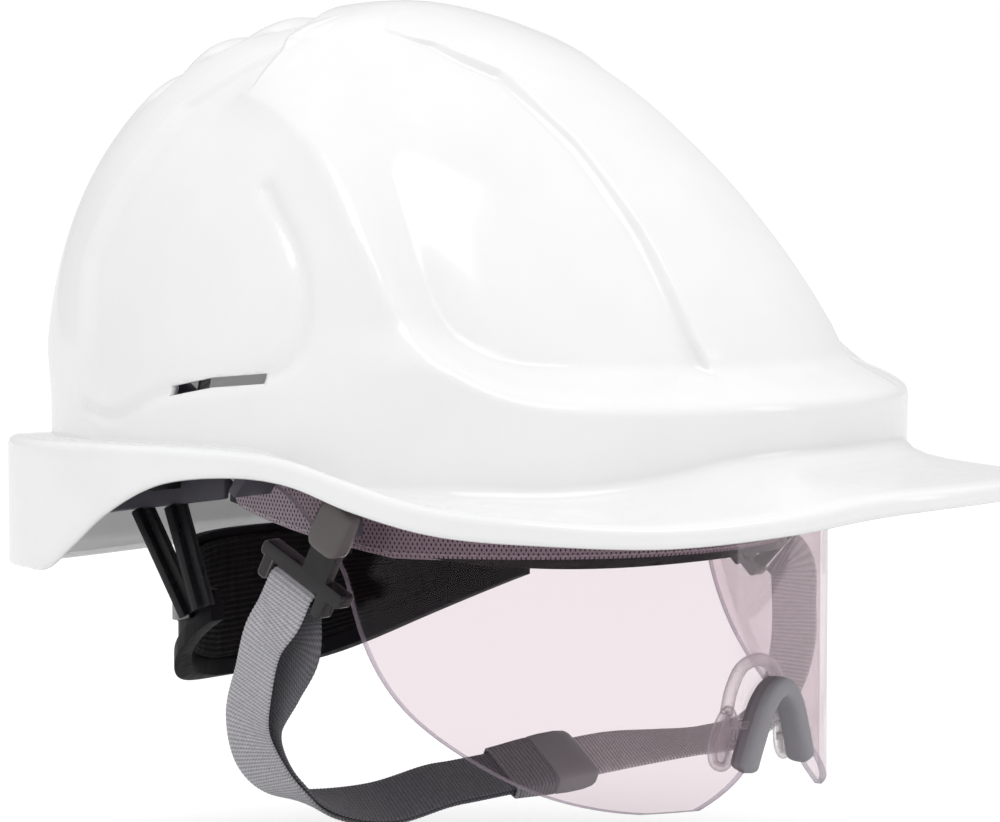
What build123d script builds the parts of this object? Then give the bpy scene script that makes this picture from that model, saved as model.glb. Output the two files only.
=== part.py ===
"""Vented safety helmet with a retractable visor, a ratchet harness and a chin strap.

Frame: +Z up, the peak points to -Y and the wearer's right side is -X. The origin is
the centre of the head opening, on the plane of the headband's lower edge.
Sizes are in millimetres.
"""

from build123d import *
from math import cos, sin, radians, degrees, pi
import os

os.makedirs("parts", exist_ok=True)

# ---------------------------------------------------------------- driving dimensions

CROWN_Z = 141.0          # top of the shell above the headband's lower edge
DOME_FRONT = 118.0       # half-length of the dome's foot, forward of its centre
DOME_REAR = 129.0        # the same, behind the centre
DOME_HALF_WIDTH = 98.0
BROW_TOP = 36.0          # ledge of the brow, the swelling between the peak and the dome
BROW_FRONT = 126.0       # its foot, forward of the origin
BROW_STEP = 2.4          # how far it stands out at the sides
WALL = 2.8               # moulded wall of the shell
RIM_FRONT = 164.0        # centre of the rim's plan to the tip of the peak
RIM_REAR = 135.0
RIM_HALF_WIDTH = 106.0
RIM_CENTRE_Y = 4.0
RIM_WALL = 3.4

LENS_HALF_WIDTH = 80.0   # outer face of the visor at its arms
LENS_FRONT = 92.0        # outer face of the visor at its middle
LENS_THICK = 2.0
LENS_TOP = 12.0
LENS_LOW = -66.0
PIVOT = (17.0, 23.0)     # visor pivot, Y and Z
PIN_R = 3.0
RUNNING = 0.05           # radial clearance of a turning pin
SLIDE_CLEAR = 0.35       # clearance of a sliding or swinging face
TRACK_SLOPE = 35.0       # degrees that the visor's track climbs towards the back
TRACK_TRAVEL = 24.0

RING_CENTRE_Y = 3.0      # the ring of headband and nape band
RING_HALF_WIDTH = 73.0
RING_FRONT = 83.0
RING_REAR = 89.0
BAND_THICK = 2.0
BAND_LOW, BAND_TOP = 0.0, 22.0
PAD_THICK = 3.5

NAPE_THICK = 2.4
KNOB_Z = -28.0
KNOB_R = 15.5
RACK_PITCH_R = 5.0       # pitch radius of the pinion that drives the two racks

WEB_WIDTH = 15.0         # chin strap webbing
WEB_THICK = 1.2
CRADLE_WIDTH = 18.0
CLIP_X = 88.0            # chin strap clips, from the middle plane
CLIP_PIN_YZ = (-17.3, 8.2)

SIDES = {"right": -1, "left": 1}


# ---------------------------------------------------------------- shared shapes

def egg(centre, front, rear, half_width, power=2.0, count=16):
    """Points of a closed plan outline: two half ellipses, or squarer if power > 2."""
    points = []
    for step in range(count):
        angle = 2 * pi * step / count
        along, across = cos(angle), sin(angle)
        reach = front if along > 0 else rear
        x = half_width * (1 if across > 0 else -1) * abs(across) ** (2 / power)
        y = centre - reach * (1 if along > 0 else -1) * abs(along) ** (2 / power)
        points.append((x, y))
    return points


def dome_outline(z, grow=0.0):
    """Plan of the dome at a height, grown outward by `grow`, with the brow swelling below its ledge."""
    rise = max(0.0, z / (CROWN_Z + grow))
    centre = 6 + 26 * rise ** 1.5
    front = (DOME_FRONT + grow) * (1 - rise ** 1.8) ** 0.60
    rear = (DOME_REAR + grow) * (1 - rise ** 2.5) ** 0.52
    half_width = (DOME_HALF_WIDTH + grow) * (1 - rise ** 2.5) ** 0.50
    if z <= BROW_TOP + grow:
        climb = max(0.0, (z - 10) / 26)
        front = BROW_FRONT - 17 * climb ** 2 + grow + centre
        half_width += BROW_STEP
    return egg(centre, front, rear, half_width)


def stacked(heights, outline):
    """Solid lofted through one closed outline per height."""
    with BuildPart() as body:
        for z in heights:
            with BuildSketch(Plane.XY.offset(z)):
                with BuildLine():
                    Spline(outline(z), periodic=True)
                make_face()
        loft(ruled=True)
    return body.part


def dome_body(grow, foot):
    """The dome and its brow as one solid, from its foot to just under its crown."""
    top, ledge = CROWN_Z + grow, BROW_TOP + grow
    heights = [foot, 0, 18, ledge - 3, ledge, ledge + 2.5]
    heights += [top * share for share in (0.36, 0.46, 0.56, 0.66, 0.75, 0.83, 0.89, 0.94, 0.97, 0.987, 0.996)]
    return stacked(heights, lambda z: dome_outline(z, grow))


def prism(outline, low, high):
    """Plan outline extruded between two heights."""
    with BuildPart() as body:
        with BuildSketch(Plane.XY.offset(low)):
            with BuildLine():
                Spline(outline, periodic=True)
            make_face()
        extrude(amount=high - low)
    return body.part


def side_slab(top_curve, bottom_curve, reach=130.0):
    """Slab across the whole width, between two curves of a side view (Y, Z)."""
    with BuildPart() as body:
        with BuildSketch(Plane.YZ):
            with BuildLine():
                upper = Spline(top_curve)
                lower = Spline(bottom_curve)
                Line(upper @ 1, lower @ 1)
                Line(upper @ 0, lower @ 0)
            make_face()
        extrude(amount=reach, both=True)
    return body.part


def ring(outer, thickness, low, high):
    """Upright strip on the head ring's plan, its outer face grown by `outer`."""
    rim = [RING_CENTRE_Y, RING_FRONT + outer, RING_REAR + outer, RING_HALF_WIDTH + outer]
    bore = [rim[0]] + [reach - thickness for reach in rim[1:]]
    return prism(egg(*rim, count=24), low, high) - prism(egg(*bore, count=24), low, high)


def ribbon(stations, width, thickness):
    """Webbing through stations of (point, direction across it, offset off its line)."""
    last = len(stations) - 1
    with BuildPart() as webbing:
        for index, (point, across, offset) in enumerate(stations):
            before = Vector(stations[max(index - 1, 0)][0])
            after = Vector(stations[min(index + 1, last)][0])
            along = (after - before).normalized()
            side = Vector(across) - along * Vector(across).dot(along)
            with BuildSketch(Plane(origin=point, x_dir=side, z_dir=along)):
                with Locations((0, offset)):
                    Rectangle(width, thickness)
        loft(ruled=True)
    return webbing.part


def write(part, name):
    part.label = name
    export_step(part, f"parts/{name}.step")


# ---------------------------------------------------------------- shell

RIM_BOTTOM = [(145, -18), (118, -13), (98, -11), (80, -9.5), (66, -2), (50, 8), (30, 16.5), (6, 19.7),
              (-14, 18.8), (-34, 13.2), (-58, 8.5), (-85, 7.3), (-113, 7.3), (-136, 10.4), (-152, 14.6), (-170, 17)]
RIM_TOP = [(145, 18), (118, 22.8), (92, 24.2), (50, 26), (14, 26.7), (-12, 25.7), (-32, 21.2), (-56, 15.8),
           (-85, 13.7), (-113, 13.1), (-136, 15.8), (-152, 20), (-170, 21)]
cavity = dome_body(-WALL, -30)

KEYS = [(55.0, 80.0), (73.0, 71.8)]    # harness keys: Y, and X of the blade's inner face
BLADE = (8.0, 3.0, 22.0)               # width along Y, thickness along X, height
BLADE_FOOT_Z = 12.0
KEY_PLAY = 0.15

with BuildPart() as key_sockets:
    for side in SIDES.values():
        for key_y, key_x in KEYS:
            with Locations((side * (key_x + 8.5), key_y, 30)):
                Box(20, 13, 13)
            with Locations((side * (key_x + BLADE[1] / 2), key_y, BLADE_FOOT_Z + BLADE[2] / 2)):
                Box(BLADE[1] + 2 * KEY_PLAY, BLADE[0] + 2 * KEY_PLAY, BLADE[2] + 2 * KEY_PLAY, mode=Mode.SUBTRACT)
    add(cavity, mode=Mode.INTERSECT)

with BuildPart() as shell:
    add(dome_body(0, -30))
    rim_plan = egg(RIM_CENTRE_Y, RIM_FRONT, RIM_REAR, RIM_HALF_WIDTH, power=2.2, count=24)
    add(prism(rim_plan, -24, 32) & side_slab(RIM_TOP, RIM_BOTTOM))
    add(side_slab(RIM_BOTTOM, [(145, -60), (0, -60), (-170, -60)]), mode=Mode.SUBTRACT)
    add(cavity, mode=Mode.SUBTRACT)
    rim_bore = egg(RIM_CENTRE_Y, 112, RIM_REAR - RIM_WALL, RIM_HALF_WIDTH - RIM_WALL, power=2.2, count=24)
    add(prism(rim_bore, -30, 14.5), mode=Mode.SUBTRACT)
    for side in SIDES.values():
        with Locations((side * 96, 18, 42)):           # side vent slots
            Box(20, 32, 3.2, mode=Mode.SUBTRACT)
        for swing in (16, 38, 60):                      # scoops behind the crown
            spot = (side * 60 * sin(radians(swing)), 26 + 76 * cos(radians(swing)), 117)
            with Locations(Location(spot, (0, 0, -side * swing))):
                Box(13, 30, 4.2, mode=Mode.SUBTRACT)
    add(key_sockets.part)

write(shell.part, "shell")

# ---------------------------------------------------------------- visor

LENS_SIDE = [(21.5, 17.5), (5.9, 12.3), (-2.3, 4.8), (-10, -4), (-14, -15.5), (-26.5, -38), (-43, -51),
             (-61, -61), (-78, LENS_LOW), (-98, LENS_LOW)]
NOTCH = [(-30, -67), (-20, -62), (-12.5, -56), (-6.5, -45), (0, -38), (6.5, -45), (12.5, -56), (20, -62), (30, -67)]


def lens_plan(grow):
    """Closed plan of the visor: half an ellipse in front, straight at the arms."""
    half, front = LENS_HALF_WIDTH + grow, LENS_FRONT + grow
    with BuildSketch() as plan:
        with BuildLine():
            EllipticalCenterArc((0, 0), half, front, 180, arc_size=180)
            Polyline((half, 0), (half, 40), (-half, 40), (-half, 0))
        make_face()
    return plan.sketch


with BuildPart() as lens:
    with BuildSketch(Plane.XY.offset(LENS_LOW)):
        add(lens_plan(0))
        add(lens_plan(-LENS_THICK), mode=Mode.SUBTRACT)
    extrude(amount=PIVOT[1] + 10 - LENS_LOW)
    with BuildSketch(Plane.YZ):
        with BuildLine():
            lower_edge = Spline(LENS_SIDE)
            Polyline(lower_edge @ 1, (-98, LENS_TOP), (-26, LENS_TOP), (12, 28), lower_edge @ 0)
        make_face()
        with Locations(PIVOT):
            Circle(6.5)
    extrude(amount=100, both=True, mode=Mode.INTERSECT)
    with BuildSketch(Plane.XZ):
        with BuildLine():
            notch_edge = Spline(NOTCH)
            Polyline(notch_edge @ 1, (30, -80), (-30, -80), notch_edge @ 0)
        make_face()
    extrude(amount=110, mode=Mode.SUBTRACT)
    with BuildSketch(Plane.YZ):
        with Locations(PIVOT):
            Circle(PIN_R + RUNNING)
    extrude(amount=100, both=True, mode=Mode.SUBTRACT)

write(lens.part, "visor_lens")

GRIP_OUTER = [(-16.5, -57.5), (-12.5, -48), (-7.5, -38), (0, -33.5), (7.5, -38), (12.5, -48), (16.5, -57.5)]
GRIP_INNER = [(-11, -59.5), (-7.5, -50.5), (-3.8, -43.5), (0, -41), (3.8, -43.5), (7.5, -50.5), (11, -59.5)]
GRIP_WRAP = 2.6          # how far the grip stands off each face of the lens

with BuildPart() as nose_grip:
    with BuildSketch(Plane.XZ):
        with BuildLine():
            grip_top = Spline(GRIP_OUTER)
            grip_low = Spline(GRIP_INNER)
            Line(grip_top @ 0, grip_low @ 0)
            Line(grip_top @ 1, grip_low @ 1)
        make_face()
    extrude(amount=110)
    with BuildSketch(Plane.XY.offset(-64)) as wrap_plan:
        add(lens_plan(GRIP_WRAP))
        add(lens_plan(-LENS_THICK - GRIP_WRAP), mode=Mode.SUBTRACT)
    extrude(amount=34, mode=Mode.INTERSECT)
    add(lens.part, mode=Mode.SUBTRACT)

write(nose_grip.part, "nose_grip")

SADDLE_OUTER = [(-19, -54), (-15.5, -43), (-8, -32.5), (0, -29), (8, -32.5), (15.5, -43), (19, -54)]
SADDLE_INNER = [(-11, -55), (-9, -45), (-5, -37.5), (0, -35), (5, -37.5), (9, -45), (11, -55)]
SADDLE_Y = -83.0         # face towards the nose
SADDLE_THICK = 2.6

with BuildPart() as nose_saddle:
    with BuildSketch(Plane.XZ.offset(-SADDLE_Y)):
        with BuildLine():
            saddle_top = Spline(SADDLE_OUTER)
            saddle_low = Spline(SADDLE_INNER)
            Line(saddle_top @ 0, saddle_low @ 0)
            Line(saddle_top @ 1, saddle_low @ 1)
        make_face()
    extrude(amount=SADDLE_THICK)
    for x, z in ((11.5, -50), (9, -43.5)):
        for side in SIDES.values():
            with Locations((side * x, SADDLE_Y - SADDLE_THICK - 2, z)):
                Box(3, 4.4, 2.4)
    add(nose_grip.part, mode=Mode.SUBTRACT)
    add(lens.part, mode=Mode.SUBTRACT)

write(nose_saddle.part, "nose_saddle")

# ---------------------------------------------------------------- visor track

RAIL = (46.0, 7.0, 2.6)          # length, height, thickness
RAIL_START = -11.0               # from the pivot, along the track
RAIL_OUT = 2.6                   # rail's inner face, from the carriage's inner face
CARRIAGE = (14.0, 12.6, 6.9)
CARRIAGE_X = LENS_HALF_WIDTH + SLIDE_CLEAR + 0.1
slope = radians(TRACK_SLOPE)

for name, side in SIDES.items():
    track_plane = Plane(
        origin=(side * CARRIAGE_X, *PIVOT),
        x_dir=(0, cos(slope), sin(slope)),
        z_dir=(side, 0, 0),
    )
    with BuildPart() as track:
        with BuildSketch(track_plane.offset(RAIL_OUT)):
            with Locations((RAIL_START + RAIL[0] / 2, 0)):
                Rectangle(RAIL[0], RAIL[1])
        extrude(amount=RAIL[2])
        with BuildSketch(track_plane.offset(RAIL_OUT + RAIL[2])):
            for foot in (RAIL_START + 1.5, RAIL_START + RAIL[0] - 1.5):
                with Locations((foot, 0)):
                    Rectangle(3, RAIL[1])
        extrude(amount=14)
        add(cavity, mode=Mode.INTERSECT)
    write(track.part, f"visor_track_{name}")

    with BuildPart() as carriage:
        with BuildSketch(track_plane):
            RectangleRounded(CARRIAGE[0], CARRIAGE[1], 1.5)
        extrude(amount=CARRIAGE[2])
        with BuildSketch(track_plane.offset(RAIL_OUT - SLIDE_CLEAR)):
            Rectangle(CARRIAGE[0] + 2, RAIL[1] + 2 * SLIDE_CLEAR)
        extrude(amount=RAIL[2] + 2 * SLIDE_CLEAR, mode=Mode.SUBTRACT)
        with BuildSketch(track_plane):
            Circle(PIN_R)
        extrude(amount=-(CARRIAGE_X - LENS_HALF_WIDTH + LENS_THICK + SLIDE_CLEAR))
    write(carriage.part, f"visor_carriage_{name}")

    with BuildPart() as pivot_cap:
        cap_plane = track_plane.offset(-(CARRIAGE_X - LENS_HALF_WIDTH + LENS_THICK + SLIDE_CLEAR))
        with BuildSketch(cap_plane):
            Circle(5)
        extrude(amount=-1.4)
    write(pivot_cap.part, f"pivot_cap_{name}")

# ---------------------------------------------------------------- headband and nape band

headband_side = side_slab(
    [(-100, BAND_TOP), (-20, BAND_TOP), (20, 24), (38, 24)],
    [(-100, BAND_LOW), (-20, BAND_LOW), (10, 5), (38, 9)],
)
headband = ring(0, BAND_THICK, -30, 40) & headband_side
write(headband, "headband")

sweatband_side = side_slab(
    [(-100, BAND_TOP + 2), (-20, BAND_TOP + 2), (20, 25), (36, 24)],
    [(-100, BAND_LOW - 2), (-20, BAND_LOW - 2), (10, 3), (36, 8)],
)
write(ring(-BAND_THICK, PAD_THICK, -30, 40) & sweatband_side, "sweatband")

NAPE_LOW_EDGE = [(43, -23), (61, -31.5), (72, -37.5), (82, -43.5), (90, -47.5), (100, -49)]
NAPE_TOP_EDGE = [(43, -15), (60, -13), (77, -9), (90, -7), (100, -7)]
nape_side = side_slab(NAPE_TOP_EDGE, NAPE_LOW_EDGE)
nape_plan = [reach + NAPE_THICK for reach in (RING_FRONT, RING_REAR, RING_HALF_WIDTH)]
nape_core = prism(egg(RING_CENTRE_Y, *nape_plan, count=24), -60, 10)
lip_side = side_slab([(y, z + 4.5) for y, z in NAPE_LOW_EDGE], NAPE_LOW_EDGE)
LIP_PROUD = 1.2
lip = ring(NAPE_THICK + LIP_PROUD, NAPE_THICK + 2 * LIP_PROUD, -60, 10) & lip_side
nape_band = (ring(NAPE_THICK, NAPE_THICK, -60, 10) & nape_side) + lip
write(nape_band, "nape_band")

pad_side = side_slab([(y, z - 2.0) for y, z in NAPE_TOP_EDGE[1:]], [(y, z + 5.2) for y, z in NAPE_LOW_EDGE[1:]])
write(ring(0, 3.0, -60, 10) & pad_side, "nape_pad")

# ---------------------------------------------------------------- hangers, keys and struts

HANGER_X = 69.6
HANGER_THICK = 2.2
HANGER_EDGE = [(36, 10), (79, 3.6), (79, 22), (36, 23)]
STRUTS = [((66.2, 53.0, -22.0), (70.7, 66.0, 5.9)), ((69.4, 45.5, -19.5), (70.7, 54.0, 7.4))]   # low and high ends

for name, side in SIDES.items():
    with BuildPart() as hanger:
        with BuildSketch(Plane.YZ.offset(side * HANGER_X)):
            with BuildLine():
                Polyline(HANGER_EDGE, close=True)
            make_face()
        extrude(amount=side * HANGER_THICK)
        with Locations((side * (HANGER_X - 2), 39, 16)):
            Box(4, 6, 9)
        add(ring(0, 20, -10, 40), mode=Mode.SUBTRACT)
    write(hanger.part, f"hanger_{name}")

    for number, (key_y, key_x) in enumerate(KEYS, start=1):
        with BuildPart() as key:
            with Locations((side * (key_x + BLADE[1] / 2), key_y, BLADE_FOOT_Z + BLADE[2] / 2)):
                Box(BLADE[1], BLADE[0], BLADE[2])
            arm = key_x - HANGER_X - HANGER_THICK
            if arm > 0.1:
                with Locations((side * (HANGER_X + HANGER_THICK + arm / 2), key_y, BLADE_FOOT_Z + 2)):
                    Box(arm, BLADE[0], 4)
        write(key.part, f"shell_key_{name}_{number}")

    for number, (low, high) in enumerate(STRUTS, start=1):
        low_end = Vector(side * low[0], low[1], low[2])
        high_end = Vector(side * high[0], high[1], high[2])
        run = high_end - low_end
        with BuildPart() as strut:
            with BuildSketch(Plane(origin=low_end, x_dir=(0, 1, 0), z_dir=run.normalized())):
                Rectangle(7.0, 2.0)
                with Locations((0, -side * 1.6)):
                    Rectangle(1.8, 3.2)
            extrude(amount=run.length)
            add(hanger.part, mode=Mode.SUBTRACT)
            add(nape_core, mode=Mode.SUBTRACT)
            add(lip, mode=Mode.SUBTRACT)
        write(strut.part.solids().sort_by(SortBy.VOLUME)[-1], f"strut_{name}_{number}")

# ---------------------------------------------------------------- cradle

CRADLE_CENTRE = (0.0, 3.0, 10.0)
CRADLE_AXES = (73.8, 84.0, 96.0)
CRADLE_FOOT = 10.0       # degrees up from the cradle's centre where each strap starts
CRADLE_STRAPS = {"cradle_strap_side": (8, 0.0), "cradle_strap_cross_1": (58, 2.0), "cradle_strap_cross_2": (-58, 4.0)}


def cradle_strap(heading, lift, count=15):
    """Strap over the crown: its stations lie on an ellipsoid, heading is from +X."""
    turn = radians(heading)
    stations = []
    for step in range(count):
        climb = radians(CRADLE_FOOT + (180 - 2 * CRADLE_FOOT) * step / (count - 1))
        out = cos(climb)
        point = (
            CRADLE_CENTRE[0] + (CRADLE_AXES[0] + lift * 0.3) * out * cos(turn),
            CRADLE_CENTRE[1] + (CRADLE_AXES[1] + lift * 0.3) * out * sin(turn),
            CRADLE_CENTRE[2] + (CRADLE_AXES[2] + lift) * sin(climb),
        )
        stations.append((point, (-sin(turn), cos(turn), 0), 0))
    return ribbon(stations, CRADLE_WIDTH, 1.0)


for name, (heading, lift) in CRADLE_STRAPS.items():
    write(cradle_strap(heading, lift), name)

# ---------------------------------------------------------------- ratchet

# Behind the nape the band is close to a circle, and the two toothed tails slide along it.
ARC_R = (RING_HALF_WIDTH + NAPE_THICK) ** 2 / (RING_REAR + NAPE_THICK)
ARC_Y = RING_CENTRE_Y + RING_REAR + NAPE_THICK - ARC_R
TAIL_R = (ARC_R + 0.6, ARC_R + 2.4)          # inner and outer radius of the tails
ROOM_R = (ARC_R - 1.0, TAIL_R[1] + 0.4)      # the housing's room for them
HOUSING = (50.0, 36.0)
HOUSING_R = ARC_R + 4.4
KNOB_SEAT_Y = ARC_Y + HOUSING_R + 0.2
KNOB_THICK = 5.0
TOOTH_COUNT = 10
TOOTH_PITCH = 2 * pi * RACK_PITCH_R / TOOTH_COUNT
TOOTH_HALF_ROOT, TOOTH_HALF_TIP = 0.75, 0.22
ADDENDUM, DEDENDUM = 0.75, 1.15
TAIL_WIDTH = 4.0
TAIL_REACH = (-12.0, 25.0)                   # arc length past the pinion and on its own side
ROOM_HALF_HEIGHT = RACK_PITCH_R + DEDENDUM + TAIL_WIDTH + 0.4


def rear_plane(y):
    """Upright plane facing backwards, centred on the knob."""
    return Plane(origin=(0, y, KNOB_Z), x_dir=(-1, 0, 0), z_dir=(0, 1, 0))


with BuildPart() as housing:
    with BuildSketch(rear_plane(KNOB_SEAT_Y - 0.2)):
        SlotOverall(*HOUSING)
    extrude(amount=-20)
    with Locations((0, ARC_Y, KNOB_Z)):
        Cylinder(HOUSING_R, 60, mode=Mode.INTERSECT)
    with BuildSketch(Plane.XY.offset(KNOB_Z - ROOM_HALF_HEIGHT)):
        with Locations((0, ARC_Y)):
            Circle(ROOM_R[1])
            Circle(ROOM_R[0], mode=Mode.SUBTRACT)
        with Locations((0, ARC_Y - 40)):
            Rectangle(160, 120, mode=Mode.SUBTRACT)
    extrude(amount=2 * ROOM_HALF_HEIGHT, mode=Mode.SUBTRACT)
    with BuildSketch(rear_plane(KNOB_SEAT_Y)):
        Circle(PIN_R + RUNNING)
    extrude(amount=-4, mode=Mode.SUBTRACT)
    add(nape_core, mode=Mode.SUBTRACT)
    add(lip, mode=Mode.SUBTRACT)
write(housing.part, "ratchet_housing")

with BuildPart() as knob:
    with BuildSketch(rear_plane(KNOB_SEAT_Y)):
        Circle(KNOB_R)
        with PolarLocations(KNOB_R + 1.6, 14):
            Circle(2.4, mode=Mode.SUBTRACT)
    extrude(amount=KNOB_THICK)
write(knob.part, "ratchet_knob")

with BuildPart() as pinion:
    with BuildSketch(rear_plane(ARC_Y + TAIL_R[0])):
        Circle(RACK_PITCH_R - DEDENDUM)
        with PolarLocations(0, TOOTH_COUNT):
            Polygon(
                (RACK_PITCH_R - DEDENDUM - 0.3, -TOOTH_HALF_ROOT), (RACK_PITCH_R + ADDENDUM, -TOOTH_HALF_TIP),
                (RACK_PITCH_R + ADDENDUM, TOOTH_HALF_TIP), (RACK_PITCH_R - DEDENDUM - 0.3, TOOTH_HALF_ROOT),
                align=None,
            )
    extrude(amount=TAIL_R[1] - TAIL_R[0])
    with BuildSketch(rear_plane(ARC_Y + TAIL_R[1])):
        Circle(PIN_R)
    extrude(amount=KNOB_SEAT_Y - ARC_Y - TAIL_R[1])
write(pinion.part, "ratchet_pinion")


def turn(length):
    """Degrees about the band's arc for a length along the tails' middle."""
    return degrees(length / ((TAIL_R[0] + TAIL_R[1]) / 2))


for name, side in SIDES.items():
    # The left tail passes above the pinion and the right one below it.
    root = side * (RACK_PITCH_R + DEDENDUM)
    start = 90 - side * turn(TAIL_REACH[0])
    sweep_angle = -side * turn(TAIL_REACH[1] - TAIL_REACH[0])
    with BuildPart() as tail:
        with BuildSketch(Plane.XY.offset(KNOB_Z + root)):
            with BuildLine():
                inner = CenterArc((0, ARC_Y), TAIL_R[0], start, sweep_angle)
                outer = CenterArc((0, ARC_Y), TAIL_R[1], start, sweep_angle)
                Line(inner @ 0, outer @ 0)
                Line(inner @ 1, outer @ 1)
            make_face()
        extrude(amount=side * TAIL_WIDTH)
        first = round(TAIL_REACH[0] / TOOTH_PITCH) + 1
        last = round(TAIL_REACH[1] / TOOTH_PITCH)
        for tooth in range(first, last):
            swing = -side * turn(tooth * TOOTH_PITCH)
            middle = Plane(origin=(0, ARC_Y, 0)).rotated((0, 0, swing))
            face = Plane(origin=middle.from_local_coords((0, TAIL_R[0], KNOB_Z)), x_dir=middle.x_dir, z_dir=-middle.y_dir)
            with BuildSketch(face):
                down = 1 if face.y_dir.Z > 0 else -1
                Polygon(
                    (-TOOTH_HALF_ROOT, down * (root + side * 0.3)), (-TOOTH_HALF_TIP, down * side * (RACK_PITCH_R - ADDENDUM)),
                    (TOOTH_HALF_TIP, down * side * (RACK_PITCH_R - ADDENDUM)), (TOOTH_HALF_ROOT, down * (root + side * 0.3)),
                    align=None,
                )
            extrude(amount=-(TAIL_R[1] - TAIL_R[0]))
    write(tail.part, f"ratchet_tail_{name}")

KEEPER_START = 34.0
keeper_side = side_slab([(46, -15.5), (88, -17), (100, -17)], [(46, -21), (88, -28), (100, -28)])
for name, side in SIDES.items():
    with BuildPart() as keeper:
        add(ring(NAPE_THICK + 1.6, 1.6, -60, 10) & keeper_side)
        with Locations((side * (100 + KEEPER_START), 0, 0)):
            Box(200, 400, 200, mode=Mode.INTERSECT)
        with Locations((0, 200 + 56, 0)):
            Box(400, 400, 200, mode=Mode.INTERSECT)
    write(keeper.part, f"tail_keeper_{name}")

# ---------------------------------------------------------------- chin strap

CLIP_SWING = {"right": 27.5, "left": -45.0}     # lean of each clip about its pin, in degrees
PIN_FROM_BAR = (5.0, 22.5)               # along the bar and up the clip
BAR_R = 1.9
TAB_BACK = CLIP_X - 1.1                  # inner face of the clip's tab
TAB_THICK = 3.6
SWIVEL_R = 2.0
TAB_WIDTH = 8.5


def clip_frame(name):
    """Centre of the clip's bar, the way along the bar and the way up the clip."""
    lean, side = radians(CLIP_SWING[name]), SIDES[name]
    along = Vector(0, -cos(lean), -sin(lean))
    up = Vector(0, -sin(lean), cos(lean))
    pin = Vector(side * CLIP_X, *CLIP_PIN_YZ)
    return pin - along * PIN_FROM_BAR[0] - up * PIN_FROM_BAR[1], along, up


for name, side in SIDES.items():
    with BuildPart() as anchor:
        with Locations((side * (TAB_BACK - SLIDE_CLEAR - 1.45), CLIP_PIN_YZ[0], 15.5)):
            Box(2.9, TAB_WIDTH, 21)
        with Locations((side * 93, CLIP_PIN_YZ[0], 25)):
            Box(18.7, TAB_WIDTH, 4)
        with BuildSketch(Plane.YZ.offset(side * (TAB_BACK - SLIDE_CLEAR))):
            with Locations(CLIP_PIN_YZ):
                Circle(SWIVEL_R)
        extrude(amount=side * (TAB_THICK + 2 * SLIDE_CLEAR))
        with BuildSketch(Plane.YZ.offset(side * (TAB_BACK + TAB_THICK + SLIDE_CLEAR))):
            with Locations(CLIP_PIN_YZ):
                Circle(3.2)
        extrude(amount=side * 1.1)
        add(cavity, mode=Mode.INTERSECT)
    write(anchor.part, f"strap_anchor_{name}")

    bar_centre, along, up = clip_frame(name)
    clip_plane = Plane(origin=bar_centre, x_dir=along, z_dir=(side, 0, 0))
    rise = 1 if clip_plane.y_dir.dot(up) > 0 else -1
    with BuildPart() as clip:
        with BuildSketch(clip_plane.offset(-2.5)):
            with Locations((1.35, rise * 5.6)):
                RectangleRounded(29, 4, 1.2)
            for end in (-9.9, 9.9):
                with Locations((end, rise * 2.2)):
                    RectangleRounded(3.4, 8.4, 1.2)
        extrude(amount=5)
        with BuildSketch(Plane(origin=bar_centre - along * 9, x_dir=(1, 0, 0), z_dir=along)):
            Circle(BAR_R)
        extrude(amount=18)
        with BuildSketch(clip_plane.offset(TAB_BACK - CLIP_X)):
            tab_top = PIN_FROM_BAR[1] + TAB_WIDTH / 2
            with Locations((PIN_FROM_BAR[0], rise * (4.5 + tab_top) / 2)):
                RectangleRounded(TAB_WIDTH, tab_top - 4.5, 2.2)
        extrude(amount=TAB_THICK)
        with BuildSketch(Plane.YZ):
            with Locations(CLIP_PIN_YZ):
                Circle(SWIVEL_R + RUNNING)
        extrude(amount=side * 120, mode=Mode.SUBTRACT)
    write(clip.part, f"chin_clip_{name}")

BUCKLE_DIR = Vector(62, -19, 5).normalized()
BUCKLE_AT = Vector(0, -13.85, -64.6)
FLAT = (0, -0.85, -0.52)                 # across the webbing under the chin
LAYER = 0.75                             # half the spacing of the doubled webbing
LOOP_R = BAR_R + 0.1 + WEB_THICK / 2

right_bar, right_along, right_up = clip_frame("right")
left_bar, left_along, left_up = clip_frame("left")
RIGHT_PATH = [
    # point, across the webbing, half spacing of its two layers
    (right_bar, right_along, LOOP_R),
    (right_bar - right_up * 7, right_along, 2.9),
    (Vector(-88.5, 7.5, -23), (0.1, -0.95, -0.3), 3.2),
    (Vector(-88.0, 12.5, -33), (0.2, -0.97, -0.1), 2.6),
    (Vector(-86.0, 15.0, -45), (0.3, -0.95, 0.0), 1.6),
    (Vector(-82.0, 14.5, -56), (0.35, -0.92, -0.1), 0.9),
    (Vector(-75.0, 12.0, -64), (0.3, -0.9, -0.2), LAYER),
    (Vector(-64.0, 8.0, -69), (0.15, -0.9, -0.35), LAYER),
    (Vector(-48.0, 2.5, -70.5), FLAT, LAYER),
    (BUCKLE_AT - BUCKLE_DIR * 26, FLAT, LAYER),
    (BUCKLE_AT + BUCKLE_DIR * 2, FLAT, LAYER),
]
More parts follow.
